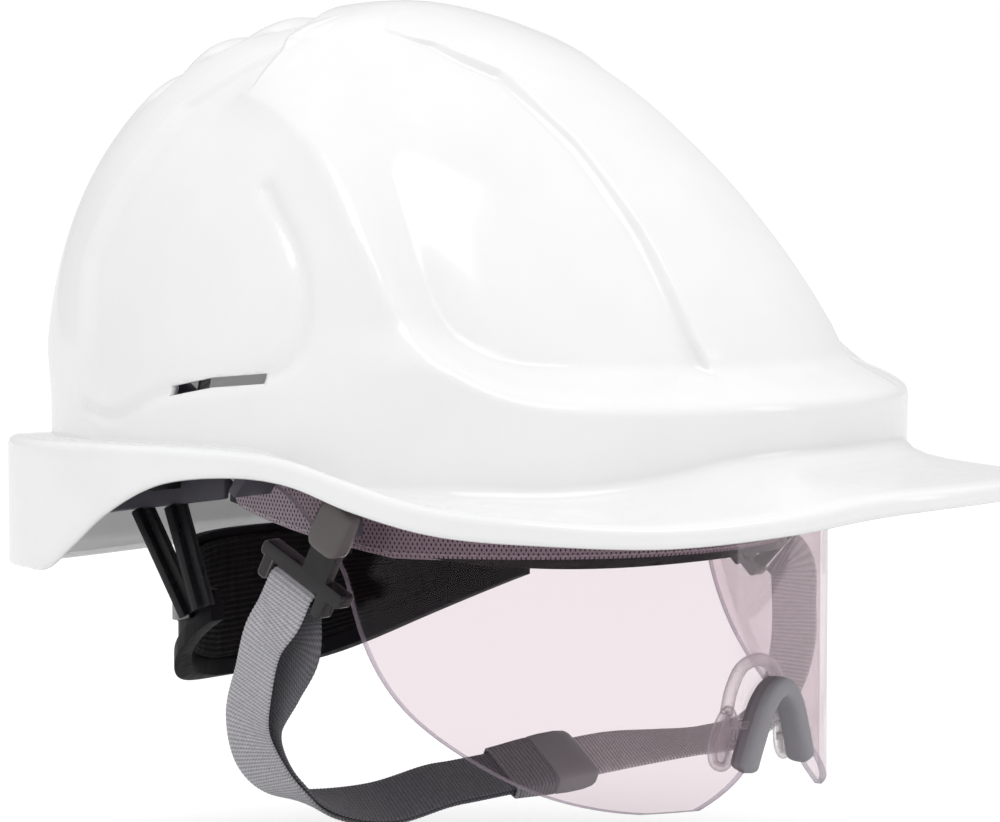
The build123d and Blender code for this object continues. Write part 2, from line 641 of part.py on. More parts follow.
LEFT_PATH = [
    (BUCKLE_AT + BUCKLE_DIR * 2, FLAT, -LAYER),
    (BUCKLE_AT + BUCKLE_DIR * 26, FLAT, -LAYER),
    (Vector(44, -26.5, -62.5), (0, -0.92, -0.38), -LAYER),
    (Vector(60, -30, -62.5), (-0.1, -0.95, -0.3), -LAYER),
    (Vector(74, -33.5, -59), (-0.2, -0.97, -0.1), -LAYER),
    (Vector(83, -35.5, -50), (-0.1, -1, 0), -LAYER),
    (Vector(87.5, -36, -38), (0, -1, 0), -LAYER / 2),
    (Vector(88.5, -35.5, -27), (0, -0.95, 0.2), 0),
    (left_bar - left_up * 8, left_along, 0),
    (left_bar - left_up * (BAR_R + 0.05), left_along, 0),
]

with BuildPart() as bar_loop:
    with BuildSketch(Plane(origin=right_bar - right_along * WEB_WIDTH / 2, x_dir=(1, 0, 0), z_dir=right_along)):
        Circle(LOOP_R + WEB_THICK / 2)
        Circle(LOOP_R - WEB_THICK / 2, mode=Mode.SUBTRACT)
    extrude(amount=WEB_WIDTH)
    with Locations(Plane(origin=right_bar - right_up * 10, x_dir=right_along, z_dir=right_up)):
        Box(20, 20, 20, mode=Mode.SUBTRACT)
write(bar_loop.part, "chin_strap_loop")

for name, sign in (("outer", 1), ("inner", -1)):
    layer = ribbon([(point, across, sign * spread) for point, across, spread in RIGHT_PATH], WEB_WIDTH, WEB_THICK)
    write(layer, f"chin_strap_right_{name}")
write(ribbon(LEFT_PATH, WEB_WIDTH, WEB_THICK), "chin_strap_left")

with BuildPart() as buckle:
    with BuildSketch(Plane(origin=BUCKLE_AT - BUCKLE_DIR * 13.5, x_dir=FLAT, z_dir=BUCKLE_DIR)):
        RectangleRounded(19, 6.4, 1.6)
        Rectangle(WEB_WIDTH + 0.8, 2 * LAYER + WEB_THICK + 0.8, mode=Mode.SUBTRACT)
    extrude(amount=27)
write(buckle.part, "slider_buckle")
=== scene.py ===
"""Looks of a vented safety helmet with a visor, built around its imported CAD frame.

The peak points to -Y, +Z is up and the wearer's right side is -X. Shapes are worked out
in millimetres and become metres in `piece`.
"""
from math import cos, sin, radians, pi, hypot
import bmesh
import bpy
import numpy as np
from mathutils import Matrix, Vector


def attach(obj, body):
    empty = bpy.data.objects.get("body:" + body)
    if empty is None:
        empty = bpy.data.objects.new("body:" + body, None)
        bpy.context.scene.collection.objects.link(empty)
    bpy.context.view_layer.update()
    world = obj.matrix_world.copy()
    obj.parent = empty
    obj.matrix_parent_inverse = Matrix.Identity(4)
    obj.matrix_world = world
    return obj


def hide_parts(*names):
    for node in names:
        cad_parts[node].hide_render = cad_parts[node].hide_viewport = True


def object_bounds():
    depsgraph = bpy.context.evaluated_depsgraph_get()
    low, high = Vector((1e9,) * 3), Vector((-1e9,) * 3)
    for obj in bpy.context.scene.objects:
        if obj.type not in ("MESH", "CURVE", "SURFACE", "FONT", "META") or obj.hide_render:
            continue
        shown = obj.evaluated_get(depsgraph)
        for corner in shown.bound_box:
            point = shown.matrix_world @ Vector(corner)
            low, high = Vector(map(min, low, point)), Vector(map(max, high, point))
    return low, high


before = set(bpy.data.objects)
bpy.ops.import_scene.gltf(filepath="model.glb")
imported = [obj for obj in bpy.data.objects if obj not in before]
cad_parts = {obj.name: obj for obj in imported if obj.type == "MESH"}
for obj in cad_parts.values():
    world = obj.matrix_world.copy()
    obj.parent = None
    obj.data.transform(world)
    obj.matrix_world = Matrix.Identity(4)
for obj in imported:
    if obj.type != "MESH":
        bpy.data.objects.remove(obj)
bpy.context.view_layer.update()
MM = 0.001
SIDES = {"right": -1, "left": 1}
STEPS_PER_SPAN = 24
SHARP_EDGE = 35

# ---------------- shared helpers


def smooth_step(value):
    """0 below 0, 1 above 1, and a smooth turn between."""
    value = np.clip(value, 0.0, 1.0)
    return value * value * (3 - 2 * value)


def unit(vectors):
    """The same directions, at length 1."""
    return vectors / np.linalg.norm(vectors, axis=-1, keepdims=True)


def run_along(points):
    """How far along the line through all the points each of them lies."""
    return np.concatenate([[0], np.cumsum(np.linalg.norm(np.diff(points, axis=0), axis=1))])


def squared_circle(turn, roundness):
    """Cosine and sine of each angle, pushed out towards the corners of a square."""
    return [np.sign(part) * np.abs(part) ** roundness for part in (np.cos(turn), np.sin(turn))]


def full_turn(count):
    """Evenly spaced angles round a circle."""
    return np.linspace(0, 2 * pi, count, endpoint=False)


def joined(parts):
    """Several (points, faces) shapes as one."""
    faces, start = [], 0
    for points, part_faces in parts:
        faces += [tuple(corner + start for corner in face) for face in part_faces]
        start += len(points)
    return np.vstack([points for points, _ in parts]), faces


def in_scene(name, data):
    """A new object in the scene."""
    obj = bpy.data.objects.new(name, data)
    bpy.context.scene.collection.objects.link(obj)
    return obj


def curve_through(points, count):
    """Evenly spaced points of a smooth curve through a few points."""
    points = np.asarray(points, float)
    padded = np.vstack([2 * points[0] - points[1], points, 2 * points[-1] - points[-2]])
    fine = []
    for index in range(1, len(padded) - 2):
        before, start, end, after = padded[index - 1:index + 3]
        for share in np.linspace(0, 1, STEPS_PER_SPAN, endpoint=False):
            fine.append(0.5 * (2 * start + (end - before) * share
                               + (2 * before - 5 * start + 4 * end - after) * share ** 2
                               + (3 * start - before - 3 * end + after) * share ** 3))
    fine = np.array(fine + [points[-1]])
    gone = run_along(fine)
    stops = np.linspace(0, gone[-1], count)
    return np.stack([np.interp(stops, gone, values) for values in fine.T], axis=1)


def piece(name, points, faces, material, body):
    """A mesh object from points in millimetres, with its material, riding on a body."""
    mesh = bpy.data.meshes.new(name)
    mesh.from_pydata([tuple(point) for point in np.asarray(points, float) * MM], [], faces)
    mesh.validate()
    obj = in_scene(name, mesh)
    mesh.materials.append(material)
    mesh.shade_smooth()
    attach(obj, body)
    return obj


def ring_faces(rings, count, closed=False):
    """Quads between rings of points. `closed` joins the last ring to the first."""
    faces = []
    for ring in range(rings if closed else rings - 1):
        for place in range(count):
            beside, below = (place + 1) % count, (ring + 1) % rings
            faces.append((ring * count + place, ring * count + beside,
                          below * count + beside, below * count + place))
    return faces


def end_caps(rings, count):
    """A face over the first ring and a face over the last."""
    last = (rings - 1) * count
    return [tuple(reversed(range(count))), tuple(range(last, last + count))]


def flipped(faces):
    """The same faces, turned over."""
    return [tuple(reversed(face)) for face in faces]


def skinned(rings, closed=False):
    """Points and faces over a row of rings, whose two ends are capped unless it is closed."""
    count = len(rings[0])
    faces = ring_faces(len(rings), count, closed)
    if not closed:
        faces += end_caps(len(rings), count)
    return np.reshape(rings, (-1, 3)), faces


def apply_modifiers(obj):
    """Turns the object's modifiers into mesh."""
    evaluated = obj.evaluated_get(bpy.context.evaluated_depsgraph_get())
    shape = bpy.data.meshes.new_from_object(evaluated)
    old = obj.data
    obj.modifiers.clear()
    obj.data = shape
    bpy.data.meshes.remove(old)


# ---------------- materials


class Tree:
    """Short ways to build a node tree."""

    def __init__(self, owner):
        owner.use_nodes = True
        self.tree = owner.node_tree

    def add(self, kind, **settings):
        node = self.tree.nodes.new(kind)
        for name, value in settings.items():
            setattr(node, name, value)
        return node

    def feed(self, value, socket):
        """Links an output to a socket, or sets a number or colour on it."""
        if isinstance(value, bpy.types.NodeSocket):
            self.tree.links.new(value, socket)
        else:
            socket.default_value = (*value, 1) if isinstance(value, tuple) else value

    def parts(self, vector):
        """X, Y and Z of a vector."""
        split = self.add("ShaderNodeSeparateXYZ")
        self.feed(vector, split.inputs["Vector"])
        return split.outputs["X"], split.outputs["Y"], split.outputs["Z"]

    def math(self, operation, *values):
        node = self.add("ShaderNodeMath", operation=operation)
        for value, socket in zip(values, node.inputs):
            self.feed(value, socket)
        return node.outputs["Value"]

    def wave(self, kind, value, wavelength):
        """A sine or cosine of a distance, from -1 to 1."""
        return self.math(kind, self.math("MULTIPLY", value, 2 * pi / wavelength))

    def ramp(self, value, low, high, start, end):
        """Maps a value from low..high to start..end."""
        node = self.add("ShaderNodeMapRange")
        for name, number in (("From Min", low), ("From Max", high), ("To Min", start), ("To Max", end)):
            node.inputs[name].default_value = number
        self.feed(value, node.inputs["Value"])
        return node.outputs["Result"]

    def mix(self, factor, first, second, blend="MIX"):
        """A colour between two colours."""
        node = self.add("ShaderNodeMix", data_type="RGBA", blend_type=blend)
        for value, socket in ((factor, "Factor"), (first, 6), (second, 7)):
            self.feed(value, node.inputs[socket])
        return node.outputs[2]


class Nodes(Tree):
    """One material's node tree. Names of its shader's sockets take _ for a space."""

    def __init__(self, name, colour, roughness, metallic=0.0, specular=0.5):
        self.material = bpy.data.materials.new(name)
        super().__init__(self.material)
        self.shader = self.tree.nodes["Principled BSDF"]
        self.set(Base_Color=colour, Metallic=metallic, Roughness=roughness, Specular_IOR_Level=specular)
        self.where = self.add("ShaderNodeTexCoord").outputs["Object"]

    def set(self, **values):
        for name, value in values.items():
            self.feed(value, self.shader.inputs[name.replace("_", " ")])

    def noise(self, scale, detail, stretch=(1, 1, 1)):
        mapping = self.add("ShaderNodeMapping")
        mapping.inputs["Scale"].default_value = stretch
        self.feed(self.where, mapping.inputs["Vector"])
        noise = self.add("ShaderNodeTexNoise")
        self.feed(scale, noise.inputs["Scale"])
        self.feed(detail, noise.inputs["Detail"])
        self.feed(mapping.outputs["Vector"], noise.inputs["Vector"])
        return noise.outputs["Fac"]

    def bump(self, height, distance):
        node = self.add("ShaderNodeBump")
        self.feed(distance * MM, node.inputs["Distance"])
        self.feed(height, node.inputs["Height"])
        self.set(Normal=node.outputs["Normal"])

    def weave(self):
        """The stored distances along and across a piece, and its painted lightness, which paints light
        and shade on webbing.
        """
        stored = self.add("ShaderNodeAttribute", attribute_name="weave")
        return self.parts(stored.outputs["Vector"])


def moulded(name, colour, roughness, grain=0.0, specular=0.5, coat=0.0):
    """Moulded plastic: slight colour and gloss changes, and a fine grain if it is textured."""
    nodes = Nodes(name, colour, roughness, specular=specular)
    patches = nodes.noise(45, 4)
    darker = tuple(channel * 0.93 for channel in colour)
    scuffs = nodes.noise(420, 3, (1, 1, 0.25))
    uneven = nodes.ramp(scuffs, 0.3, 0.75, roughness * 0.85, roughness * 1.25)
    nodes.set(Base_Color=nodes.mix(patches, darker, colour), Roughness=uneven)
    if grain:
        nodes.bump(nodes.noise(2600, 2), grain)
    if coat:
        nodes.set(Coat_Weight=coat, Coat_Roughness=0.06)
    return nodes.material


TWILL_PITCH = 0.0009


def webbing_material(name, light, dark, ribs=0.0011):
    """Woven webbing: ribs across it, with a fine slanting twill and lengthwise yarns. Its colour is
    painted light and shade: `light` is the lit colour and `dark` the shaded one, mixed by the stored
    lightness.
    """
    nodes = Nodes(name, light, 0.82, specular=0.25)
    along, across, lit = nodes.weave()
    rib = nodes.ramp(nodes.wave("SINE", along, ribs), -1, 1, 0, 1)
    ribs_passed = nodes.math("MULTIPLY", along, 2 * pi / ribs)
    yarns_passed = nodes.math("MULTIPLY", across, 2 * pi / TWILL_PITCH)
    slant = nodes.math("ADD", ribs_passed, yarns_passed)
    yarn = nodes.ramp(nodes.math("SINE", slant), -1, 1, 0, 1)
    cross = nodes.ramp(nodes.wave("SINE", across, TWILL_PITCH / 2), -1, 1, 0, 1)
    height = nodes.math("ADD", nodes.math("MULTIPLY", rib, 0.75), nodes.math("MULTIPLY", yarn, 0.35))
    height = nodes.math("ADD", height, nodes.math("MULTIPLY", cross, 0.15))
    fuzz = nodes.noise(900, 4)
    # painted shade: the colour darkens where the weave is low, between ribs and yarns; the fuzz adds
    # random tone
    hollow_shade = nodes.ramp(height, 0.1, 1.15, 0.55, 1.1)
    shade = nodes.math("MULTIPLY", hollow_shade, nodes.ramp(fuzz, 0.25, 0.75, 0.85, 1.1))
    # painted light and shade: the lit colour where the stored lightness is 1, the shaded colour where
    # it is 0
    colour = nodes.mix(1.0, nodes.mix(lit, dark, light), shade, "MULTIPLY")
    nodes.set(Base_Color=colour, Sheen_Weight=0.25, Sheen_Roughness=0.5)
    nodes.bump(height, 0.3)
    return nodes.material


SHELL_WHITE = moulded("glossy white shell", (0.88, 0.885, 0.88), 0.14, coat=0.35)
HARNESS_BLACK = moulded("glossy black nylon", (0.010, 0.009, 0.011), 0.3, grain=0.004, specular=0.2)
HARNESS_GREY = moulded("satin grey nylon", (0.05, 0.046, 0.062), 0.4, grain=0.008, specular=0.35)
CLIP_BROWN = moulded("brown black nylon", (0.085, 0.07, 0.07), 0.22, grain=0.004, coat=0.2)
GRIP_GREY = moulded("soft grey rubber", (0.27, 0.26, 0.28), 0.42, grain=0.008)
BUCKLE_GREY = moulded("grey buckle nylon", (0.36, 0.355, 0.37), 0.45, grain=0.012, specular=0.35)
NAPE_BLACK = moulded("black nape band", (0.012, 0.011, 0.013), 0.4, grain=0.003, specular=0.008)
CLIP_BLACK = moulded("black clip frame", (0.016, 0.014, 0.016), 0.16, specular=0.35)
# painted light and shade: the chin webbing's material runs from a lit colour to a shaded one
WEB_LIT_AND_SHADED = webbing_material("ribbed webbing painted lit and shaded", (0.58, 0.565, 0.60), (0.085, 0.08, 0.095))
# painted light: a brightened copy of the chin webbing, for the far strap, which sits in shade
WEB_BRIGHTENED = webbing_material("ribbed webbing brightened as painted light", (0.95, 0.93, 0.95), (0.45, 0.44, 0.46))
WEB_DARK = webbing_material("dark webbing", (0.12, 0.115, 0.13), (0.02, 0.02, 0.024), ribs=0.0014)

# ---------------- shell

CROWN_Z = 141.0
DOME_FRONT, DOME_REAR, DOME_HALF_WIDTH = 118.0, 129.0, 98.0
RIM_FRONT, RIM_REAR, RIM_HALF_WIDTH, RIM_CENTRE = 164.0, 135.0, 106.0, 4.0
RIM_POWER_FRONT, RIM_POWER_REAR = 2.2, 2.42
SHELL_WALL = 2.6
# The rim's lower and upper edges, as height over Y.
RIM_BOTTOM = [(145, -18), (118, -13), (98, -11), (80, -9.5), (66, -2), (50, 8), (30, 16.5),
              (6, 19.7), (-14, 18.8), (-34, 13.2), (-58, 8.5), (-85, 7.3), (-113, 7.3),
              (-136, 10.4), (-152, 14.6), (-170, 17)]
RIM_TOP = [(145, 18), (118, 22.8), (92, 24.2), (50, 26), (14, 26.7), (-12, 25.7),
           (-32, 21.2), (-56, 15.8), (-85, 13.7), (-113, 13.1), (-136, 15.8), (-152, 20), (-170, 21)]
# Lines on the dome, as (degrees from the front, height).
BAND_EDGE = [(17.5, 38), (18.5, 45), (19.3, 55), (18.6, 70), (18.2, 82), (19.0, 104),
             (23.5, 122), (38, 129.5), (57, 133)]
FOLD_LINE = [(0, 38.5), (12, 38.5), (34, 38.5), (48, 40), (56, 46), (61.5, 57), (66, 75),
             (74, 97), (84, 108), (96, 114)]
FOOT_LINE = [(0, 47), (21, 47.5), (36, 48), (48, 49), (55, 54), (60, 63), (60.5, 82),
             (58, 107), (52, 124), (50, 131)]
FLAP_LINE = [(122, 33), (113, 32), (103, 39.5), (88, 44.5), (82, 48), (79, 55), (78, 67),
             (80, 79), (86, 92)]
REAR_BAND = [(120, 27), (121, 53), (124, 72), (121, 88), (114, 112), (104, 121), (90, 130)]
FRONT_ANGLE = 76


def degrees_at(line, height):
    """Degrees from the front of a line on the dome, at a height."""
    degrees, heights = zip(*line)
    return np.interp(height, heights, degrees)


def width_at(rise):
    """Half the plain dome's width."""
    return DOME_HALF_WIDTH * np.sqrt(np.clip(1 - rise ** 2.5, 1e-6, 1))


def over_y(curve, y):
    """Height of a rim edge at Y, smoothed between its points."""
    line = curve_through(curve, 120)
    order = np.argsort(line[:, 0])
    return np.interp(y, line[order, 0], line[order, 1])


def dome(angle, rise):
    """Point of the plain dome: angle from the front in radians, rise from 0 at its foot to 1."""
    centre = 6 + 26 * rise ** 1.5
    front = DOME_FRONT * (1 - rise ** 1.8) ** 0.60
    rear = DOME_REAR * (1 - rise ** 2.5) ** 0.52
    half_width = DOME_HALF_WIDTH * (1 - rise ** 2.5) ** 0.50
    reach = np.where(np.cos(angle) > 0, front, rear)
    x, y = half_width * np.sin(angle), centre - reach * np.cos(angle)
    return np.stack([x, y, CROWN_Z * rise + 0 * angle], -1)


def rim_outline(angle, inset=0.0):
    """Plan of the rim's outer edge."""
    across, along = np.sin(angle), np.cos(angle)
    reach = np.where(along > 0, RIM_FRONT, RIM_REAR) - inset
    power = np.where(along > 0, RIM_POWER_FRONT, RIM_POWER_REAR)
    x = (RIM_HALF_WIDTH - inset) * np.sign(across) * np.abs(across) ** (2 / power)
    y = RIM_CENTRE - reach * np.sign(along) * np.abs(along) ** (2 / power)
    return x, y


def on_dome(line):
    """A line of (degrees, height) as points on the dome, on both sides."""
    fine = curve_through(line, 160)
    rise = np.clip(fine[:, 1] / CROWN_Z, 0, 0.999)
    right = dome(-np.radians(fine[:, 0]), rise)
    return np.vstack([right, right * [-1, 1, 1]])


def gap_to(points, line_points):
    """Distance of each point to the nearest of a line's points."""
    nearest = np.full(len(points), np.inf)
    for start in range(0, len(line_points), 40):
        apart = np.linalg.norm(points[:, None, :] - line_points[None, start:start + 40, :], axis=2)
        nearest = np.minimum(nearest, apart.min(axis=1))
    return nearest


def inside(turn, height, line):
    """Whether a place on the dome is on the upper front side of a line that starts at the front."""
    fine = curve_through(line, 200)
    loop = np.vstack([fine, [(fine[-1, 0], CROWN_Z + 20), (-5, CROWN_Z + 20), (-5, fine[0, 1])]])
    within = np.zeros(turn.shape, bool)
    for (x0, y0), (x1, y1) in zip(loop, np.roll(loop, -1, axis=0)):
        if y0 == y1:
            continue
        crossing = (height >= min(y0, y1)) & (height < max(y0, y1))
        within ^= crossing & (turn < x0 + (height - y0) * (x1 - x0) / (y1 - y0))
    return within


def softened(grid, rounds):
    """A grid of values, closed in its columns, averaged with its neighbours a few times."""
    for _ in range(rounds):
        grid = 0.5 * grid + 0.25 * (np.roll(grid, 1, axis=1) + np.roll(grid, -1, axis=1))
        rows = np.vstack([grid[:1], grid, grid[-1:]])
        grid = 0.5 * grid + 0.25 * (rows[:-2] + rows[2:])
    return grid


def shell_relief(angle, rise, base):
    """How far the moulded shell stands off the plain dome, in millimetres."""
    shape = angle.shape
    turn, height = np.degrees(np.abs(angle)).ravel(), (rise * CROWN_Z).ravel()
    points = base.reshape(-1, 3)
    # The recessed front panels, the strip up to the fold, and everything outside the fold.
    to_fold, to_foot = gap_to(points, on_dome(FOLD_LINE)), gap_to(points, on_dome(FOOT_LINE))
    in_fold, in_foot = inside(turn, height, FOLD_LINE), inside(turn, height, FOOT_LINE)
    strip = np.where(in_foot, 0.0, np.where(in_fold, to_foot / (to_fold + to_foot + 1e-6), 1.0))
    strip = softened(strip.reshape(shape), 4).ravel()
    strip = strip ** 1.35 * (1.28 - 0.28 * strip ** 4)
    near_front = smooth_step((78 - turn) / 40)
    outer = 0.3 + 3.6 * np.exp(-to_fold / 7.5) * (~in_fold) + 3.6 * in_fold
    outer *= smooth_step((120 - turn) / 30) * smooth_step((CROWN_Z - 2 - height) / 8)
    brow_reach = np.hypot(100 * np.sin(angle), 120.5 * np.cos(angle)).ravel()
    dome_reach = np.hypot(points[:, 0], points[:, 1] - 8)
    bulge = np.clip(brow_reach - dome_reach, 0, 30)
    outer = outer * (1 - near_front * smooth_step((70 - height) / 20))
    outer += near_front * (1.2 + bulge) * smooth_step((60 - height) / 14)
    deep = 3.6 * smooth_step((turn - 14) / 34) * smooth_step((112 - height) / 50)
    panel = -2.0 - deep
    past_edge = np.radians(turn - degrees_at(BAND_EDGE, height)) * width_at(rise.ravel())
    band = 1 - smooth_step((past_edge + 0.8) / 3.6)
    fade = smooth_step((CROWN_Z - 3 - height) / 14)
    inner = (panel + (0.9 - panel) * band) * fade
    relief = inner + (outer - inner) * strip
    # Flat flap over the side vent, and the softer edge of the raised band down the back.
    to_flap = gap_to(points, on_dome(FLAP_LINE))
    relief -= 1.3 * np.exp(-(to_flap / 2.2) ** 2) * (turn > FRONT_ANGLE)
    past_rear = turn - degrees_at(REAR_BAND, height)
    rear_step = smooth_step((past_rear + 2.5) / 5) * smooth_step((height - 30) / 20)
    relief += 1.8 * rear_step * smooth_step((136 - height) / 10)
    return relief.reshape(shape)


SCOOP_START, SCOOP_PITCH, SCOOP_COUNT = 50.0, 18.5, 3
SCOOP_SWEEP, SCOOP_DEPTH, SCOOP_LIP = -0.3, 7.0, 0.14
SLOT_WIDTH = 3.4
SIDE_VENT = [(35.5, 38.6), (20, 41.6), (2, 43.4), (2, 46.0), (20, 44.2), (35.0, 41.2)]


def scoop_half(y):
    """Half the width of the scoops: they widen towards the back."""
    return 32 + 0.36 * (y - 41)


def scoop_depth(skin):
    """How far the three scoops behind the crown are pressed down at each point of the skin."""
    x, y, z = np.moveaxis(skin, -1, 0)
    cell = (y - SCOOP_SWEEP * np.sqrt(x * x + 9) - SCOOP_START) / SCOOP_PITCH
    share = cell - np.floor(cell)
    in_row = (cell > 0) & (cell < SCOOP_COUNT) & (z > 60)
    drop, rise_again = smooth_step(share / SCOOP_LIP), smooth_step((share - SCOOP_LIP) / 0.82)
    fall = np.where(share < SCOOP_LIP, drop, 1 - rise_again)
    return SCOOP_DEPTH * fall * in_row * smooth_step((scoop_half(y) + 3 - np.abs(x)) / 13.0)


def shell_columns(height):
    """Angles round the shell at one height: they gather at the raised band's edge."""
    edge, front = radians(degrees_at(BAND_EDGE, height)), radians(FRONT_ANGLE)
    half_width = DOME_HALF_WIDTH * np.sqrt(max(1e-4, 1 - min(height / CROWN_Z, 0.9999) ** 2.5))
    step = min(1.6 / half_width, edge / 3, (front - edge) / 3)
    half = np.concatenate([
        np.linspace(0, edge - step, 22, endpoint=False),
        np.linspace(edge - step, edge + step, 6, endpoint=False),
        np.linspace(edge + step, front, 44, endpoint=False),
        np.linspace(front, pi, 130),
    ])
    return np.concatenate([half, -half[-2:0:-1]])


# How far out and how far down the skin has come at each row between the wall and the rim.
FLANGE_SWEEP = [(0.06, 0.45), (0.16, 0.72), (0.3, 0.86), (0.45, 0.93), (0.6, 0.97), (0.75, 0.99),
                (0.88, 1.0)]


def shell_wall():
    """The skin from the crown to the foot of the wall, and the angles round its last row."""
    crown_rows = 1 - np.linspace(0.015, 0.74, 112) ** 2
    rises = list(np.clip(crown_rows, 0, 1) ** 0.4)
    top = rises[-1] * CROWN_Z
    wall = np.linspace(0, 1, 82)[1:]
    rows = []
    for rise in rises:
        angle = shell_columns(rise * CROWN_Z)
        rows.append((angle, np.full(angle.shape, rise)))
    low_angle = shell_columns(30.0)
    _, low_y = rim_outline(low_angle)
    around = np.abs(np.degrees(low_angle))
    rim_top = over_y(RIM_TOP, low_y)
    foot = rim_top + 6.5 * smooth_step((86 - around) / 32)
    for share in wall:
        height = top + (foot - top) * share
        rows.append((shell_columns(float(np.median(height))), height / CROWN_Z))
    angle = np.array([row[0] for row in rows])
    rise = np.array([row[1] for row in rows])
    base = dome(angle, rise)
    normal = surface_normals(base)
    level = smooth_step((78 - np.abs(np.degrees(angle))) / 40)
    level *= smooth_step((62 - rise * CROWN_Z) / 14)
    normal[..., 2] *= 1 - level
    normal = unit(normal)
    skin = base + normal * shell_relief(angle, rise, base)[..., None]
    skin[..., 2] -= scoop_depth(skin)
    return skin, angle[-1]


def shell_flange(angle, wall_foot):
    """Rows of the skin that turn out from the wall's foot to the rim and go down its edge."""
    edge_x, edge_y = rim_outline(angle)
    lip_x, lip_y = rim_outline(angle, 1.9)
    rim_top, rim_low = over_y(RIM_TOP, edge_y), over_y(RIM_BOTTOM, edge_y)
    flange = []
    for share, drop in FLANGE_SWEEP:
        x = wall_foot[:, 0] + (lip_x - wall_foot[:, 0]) * share
        y = wall_foot[:, 1] + (lip_y - wall_foot[:, 1]) * share
        z = wall_foot[:, 2] + (rim_top - wall_foot[:, 2]) * (0.7 * drop + 0.3 * share)
        flange.append(np.stack([x, y, z], -1))
    for inset, down in ((1.9, 0.15), (0.9, 0.6), (0.25, 1.3), (0.0, 2.4)):
        x, y = rim_outline(angle, inset)
        flange.append(np.stack([x, y, rim_top - down], -1))
    edge_top, edge_low = rim_top - 2.4, rim_low + 1.2
    for share in (0.3, 0.5, 0.7, 0.85):
        flange.append(np.stack([edge_x, edge_y, edge_top + (edge_low - edge_top) * share], -1))
    for inset, up in ((0.0, 1.2), (0.35, 0.4), (1.1, 0.0)):
        x, y = rim_outline(angle, inset)
        flange.append(np.stack([x, y, rim_low + up], -1))
    return np.array(flange)


def make_shell():
    """The outer skin from crown to rim, given its wall thickness at the end."""
    wall, angle = shell_wall()
    skin = np.concatenate([wall, shell_flange(angle, wall[-1])])
    count = skin.shape[1]
    points = np.vstack([skin.reshape(-1, 3), [[0, skin[0, :, 1].mean(), CROWN_Z + 0.2]]])
    faces = ring_faces(len(skin), count)
    pole = len(points) - 1
    faces += [(pole, (column + 1) % count, column) for column in range(count)]
    shell = piece("helmet_shell", points, flipped(faces), SHELL_WHITE, "hat")
    thick = shell.modifiers.new("wall", "SOLIDIFY")
    thick.thickness = SHELL_WALL * MM
    thick.offset = -1
    cutter = vent_cutter()
    cut = shell.modifiers.new("vents", "BOOLEAN")
    cut.object = cutter
    cut.solver = "EXACT"
    apply_modifiers(shell)
    bpy.data.objects.remove(cutter)
    shell.data.shade_smooth()
    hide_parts("shell")


def vent_cutter():
    """Solids that cut the slots over the ears and under the three chevron lips."""
    outlines = [[(side * reach, y, z) for reach in (84, 112) for y, z in SIDE_VENT]
                for side in SIDES.values()]
    for row in range(SCOOP_COUNT):
        front = SCOOP_START + SCOOP_PITCH * row + 2.0
        half = scoop_half(front) - 11
        wing = front + SCOOP_SWEEP * half
        lip = [(-half, wing), (0, front), (half, wing)]
        plan = lip + [(x, y + SLOT_WIDTH) for x, y in reversed(lip)]
        outlines.append([(x, y, z) for z in (90, 150) for x, y in plan])
    points, faces = joined([skinned(np.reshape(outline, (2, -1, 3))) for outline in outlines])
    mesh = bpy.data.meshes.new("vent_cutter")
    mesh.from_pydata([tuple(point) for point in points * MM], [], faces)
    work = bmesh.new()
    work.from_mesh(mesh)
    bmesh.ops.recalc_face_normals(work, faces=work.faces)
    work.to_mesh(mesh)
    work.free()
    return in_scene("vent_cutter", mesh)


def surface_normals(grid):
    """Outward normals of a closed-column grid of points."""
    around = np.roll(grid, -1, axis=1) - np.roll(grid, 1, axis=1)
    down = np.gradient(grid, axis=0)
    normal = np.cross(down, around)
    normal /= np.linalg.norm(normal, axis=-1, keepdims=True) + 1e-9
    outward = grid - np.array([0, 10, 10])
    return normal * np.sign((normal * outward).sum(-1, keepdims=True))


make_shell()

# ---------------- refined CAD pieces


def refined(node, material, slot, body, round_edges, segments=2, sharp=50):
    """A CAD node's own shape with its edges rounded and a finished material."""
    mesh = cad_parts[node].data.copy()
    mesh.materials.clear()
    mesh.materials.append(material)
    work = bmesh.new()
    work.from_mesh(mesh)
    bmesh.ops.remove_doubles(work, verts=work.verts, dist=2e-6)
    bmesh.ops.dissolve_limit(work, angle_limit=radians(0.5), verts=work.verts, edges=work.edges)
    work.to_mesh(mesh)
    work.free()
    obj = in_scene(node + "_finish", mesh)
    bevel = obj.modifiers.new("round", "BEVEL")
    bevel.width = round_edges * MM
    bevel.segments = segments
    bevel.limit_method = "ANGLE"
    bevel.angle_limit = radians(SHARP_EDGE)
    bevel.harden_normals = False
    apply_modifiers(obj)
    obj.data.shade_smooth()
    obj.data.set_sharp_from_angle(angle=radians(sharp))
    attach(obj, body)
    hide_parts(node)
    return obj


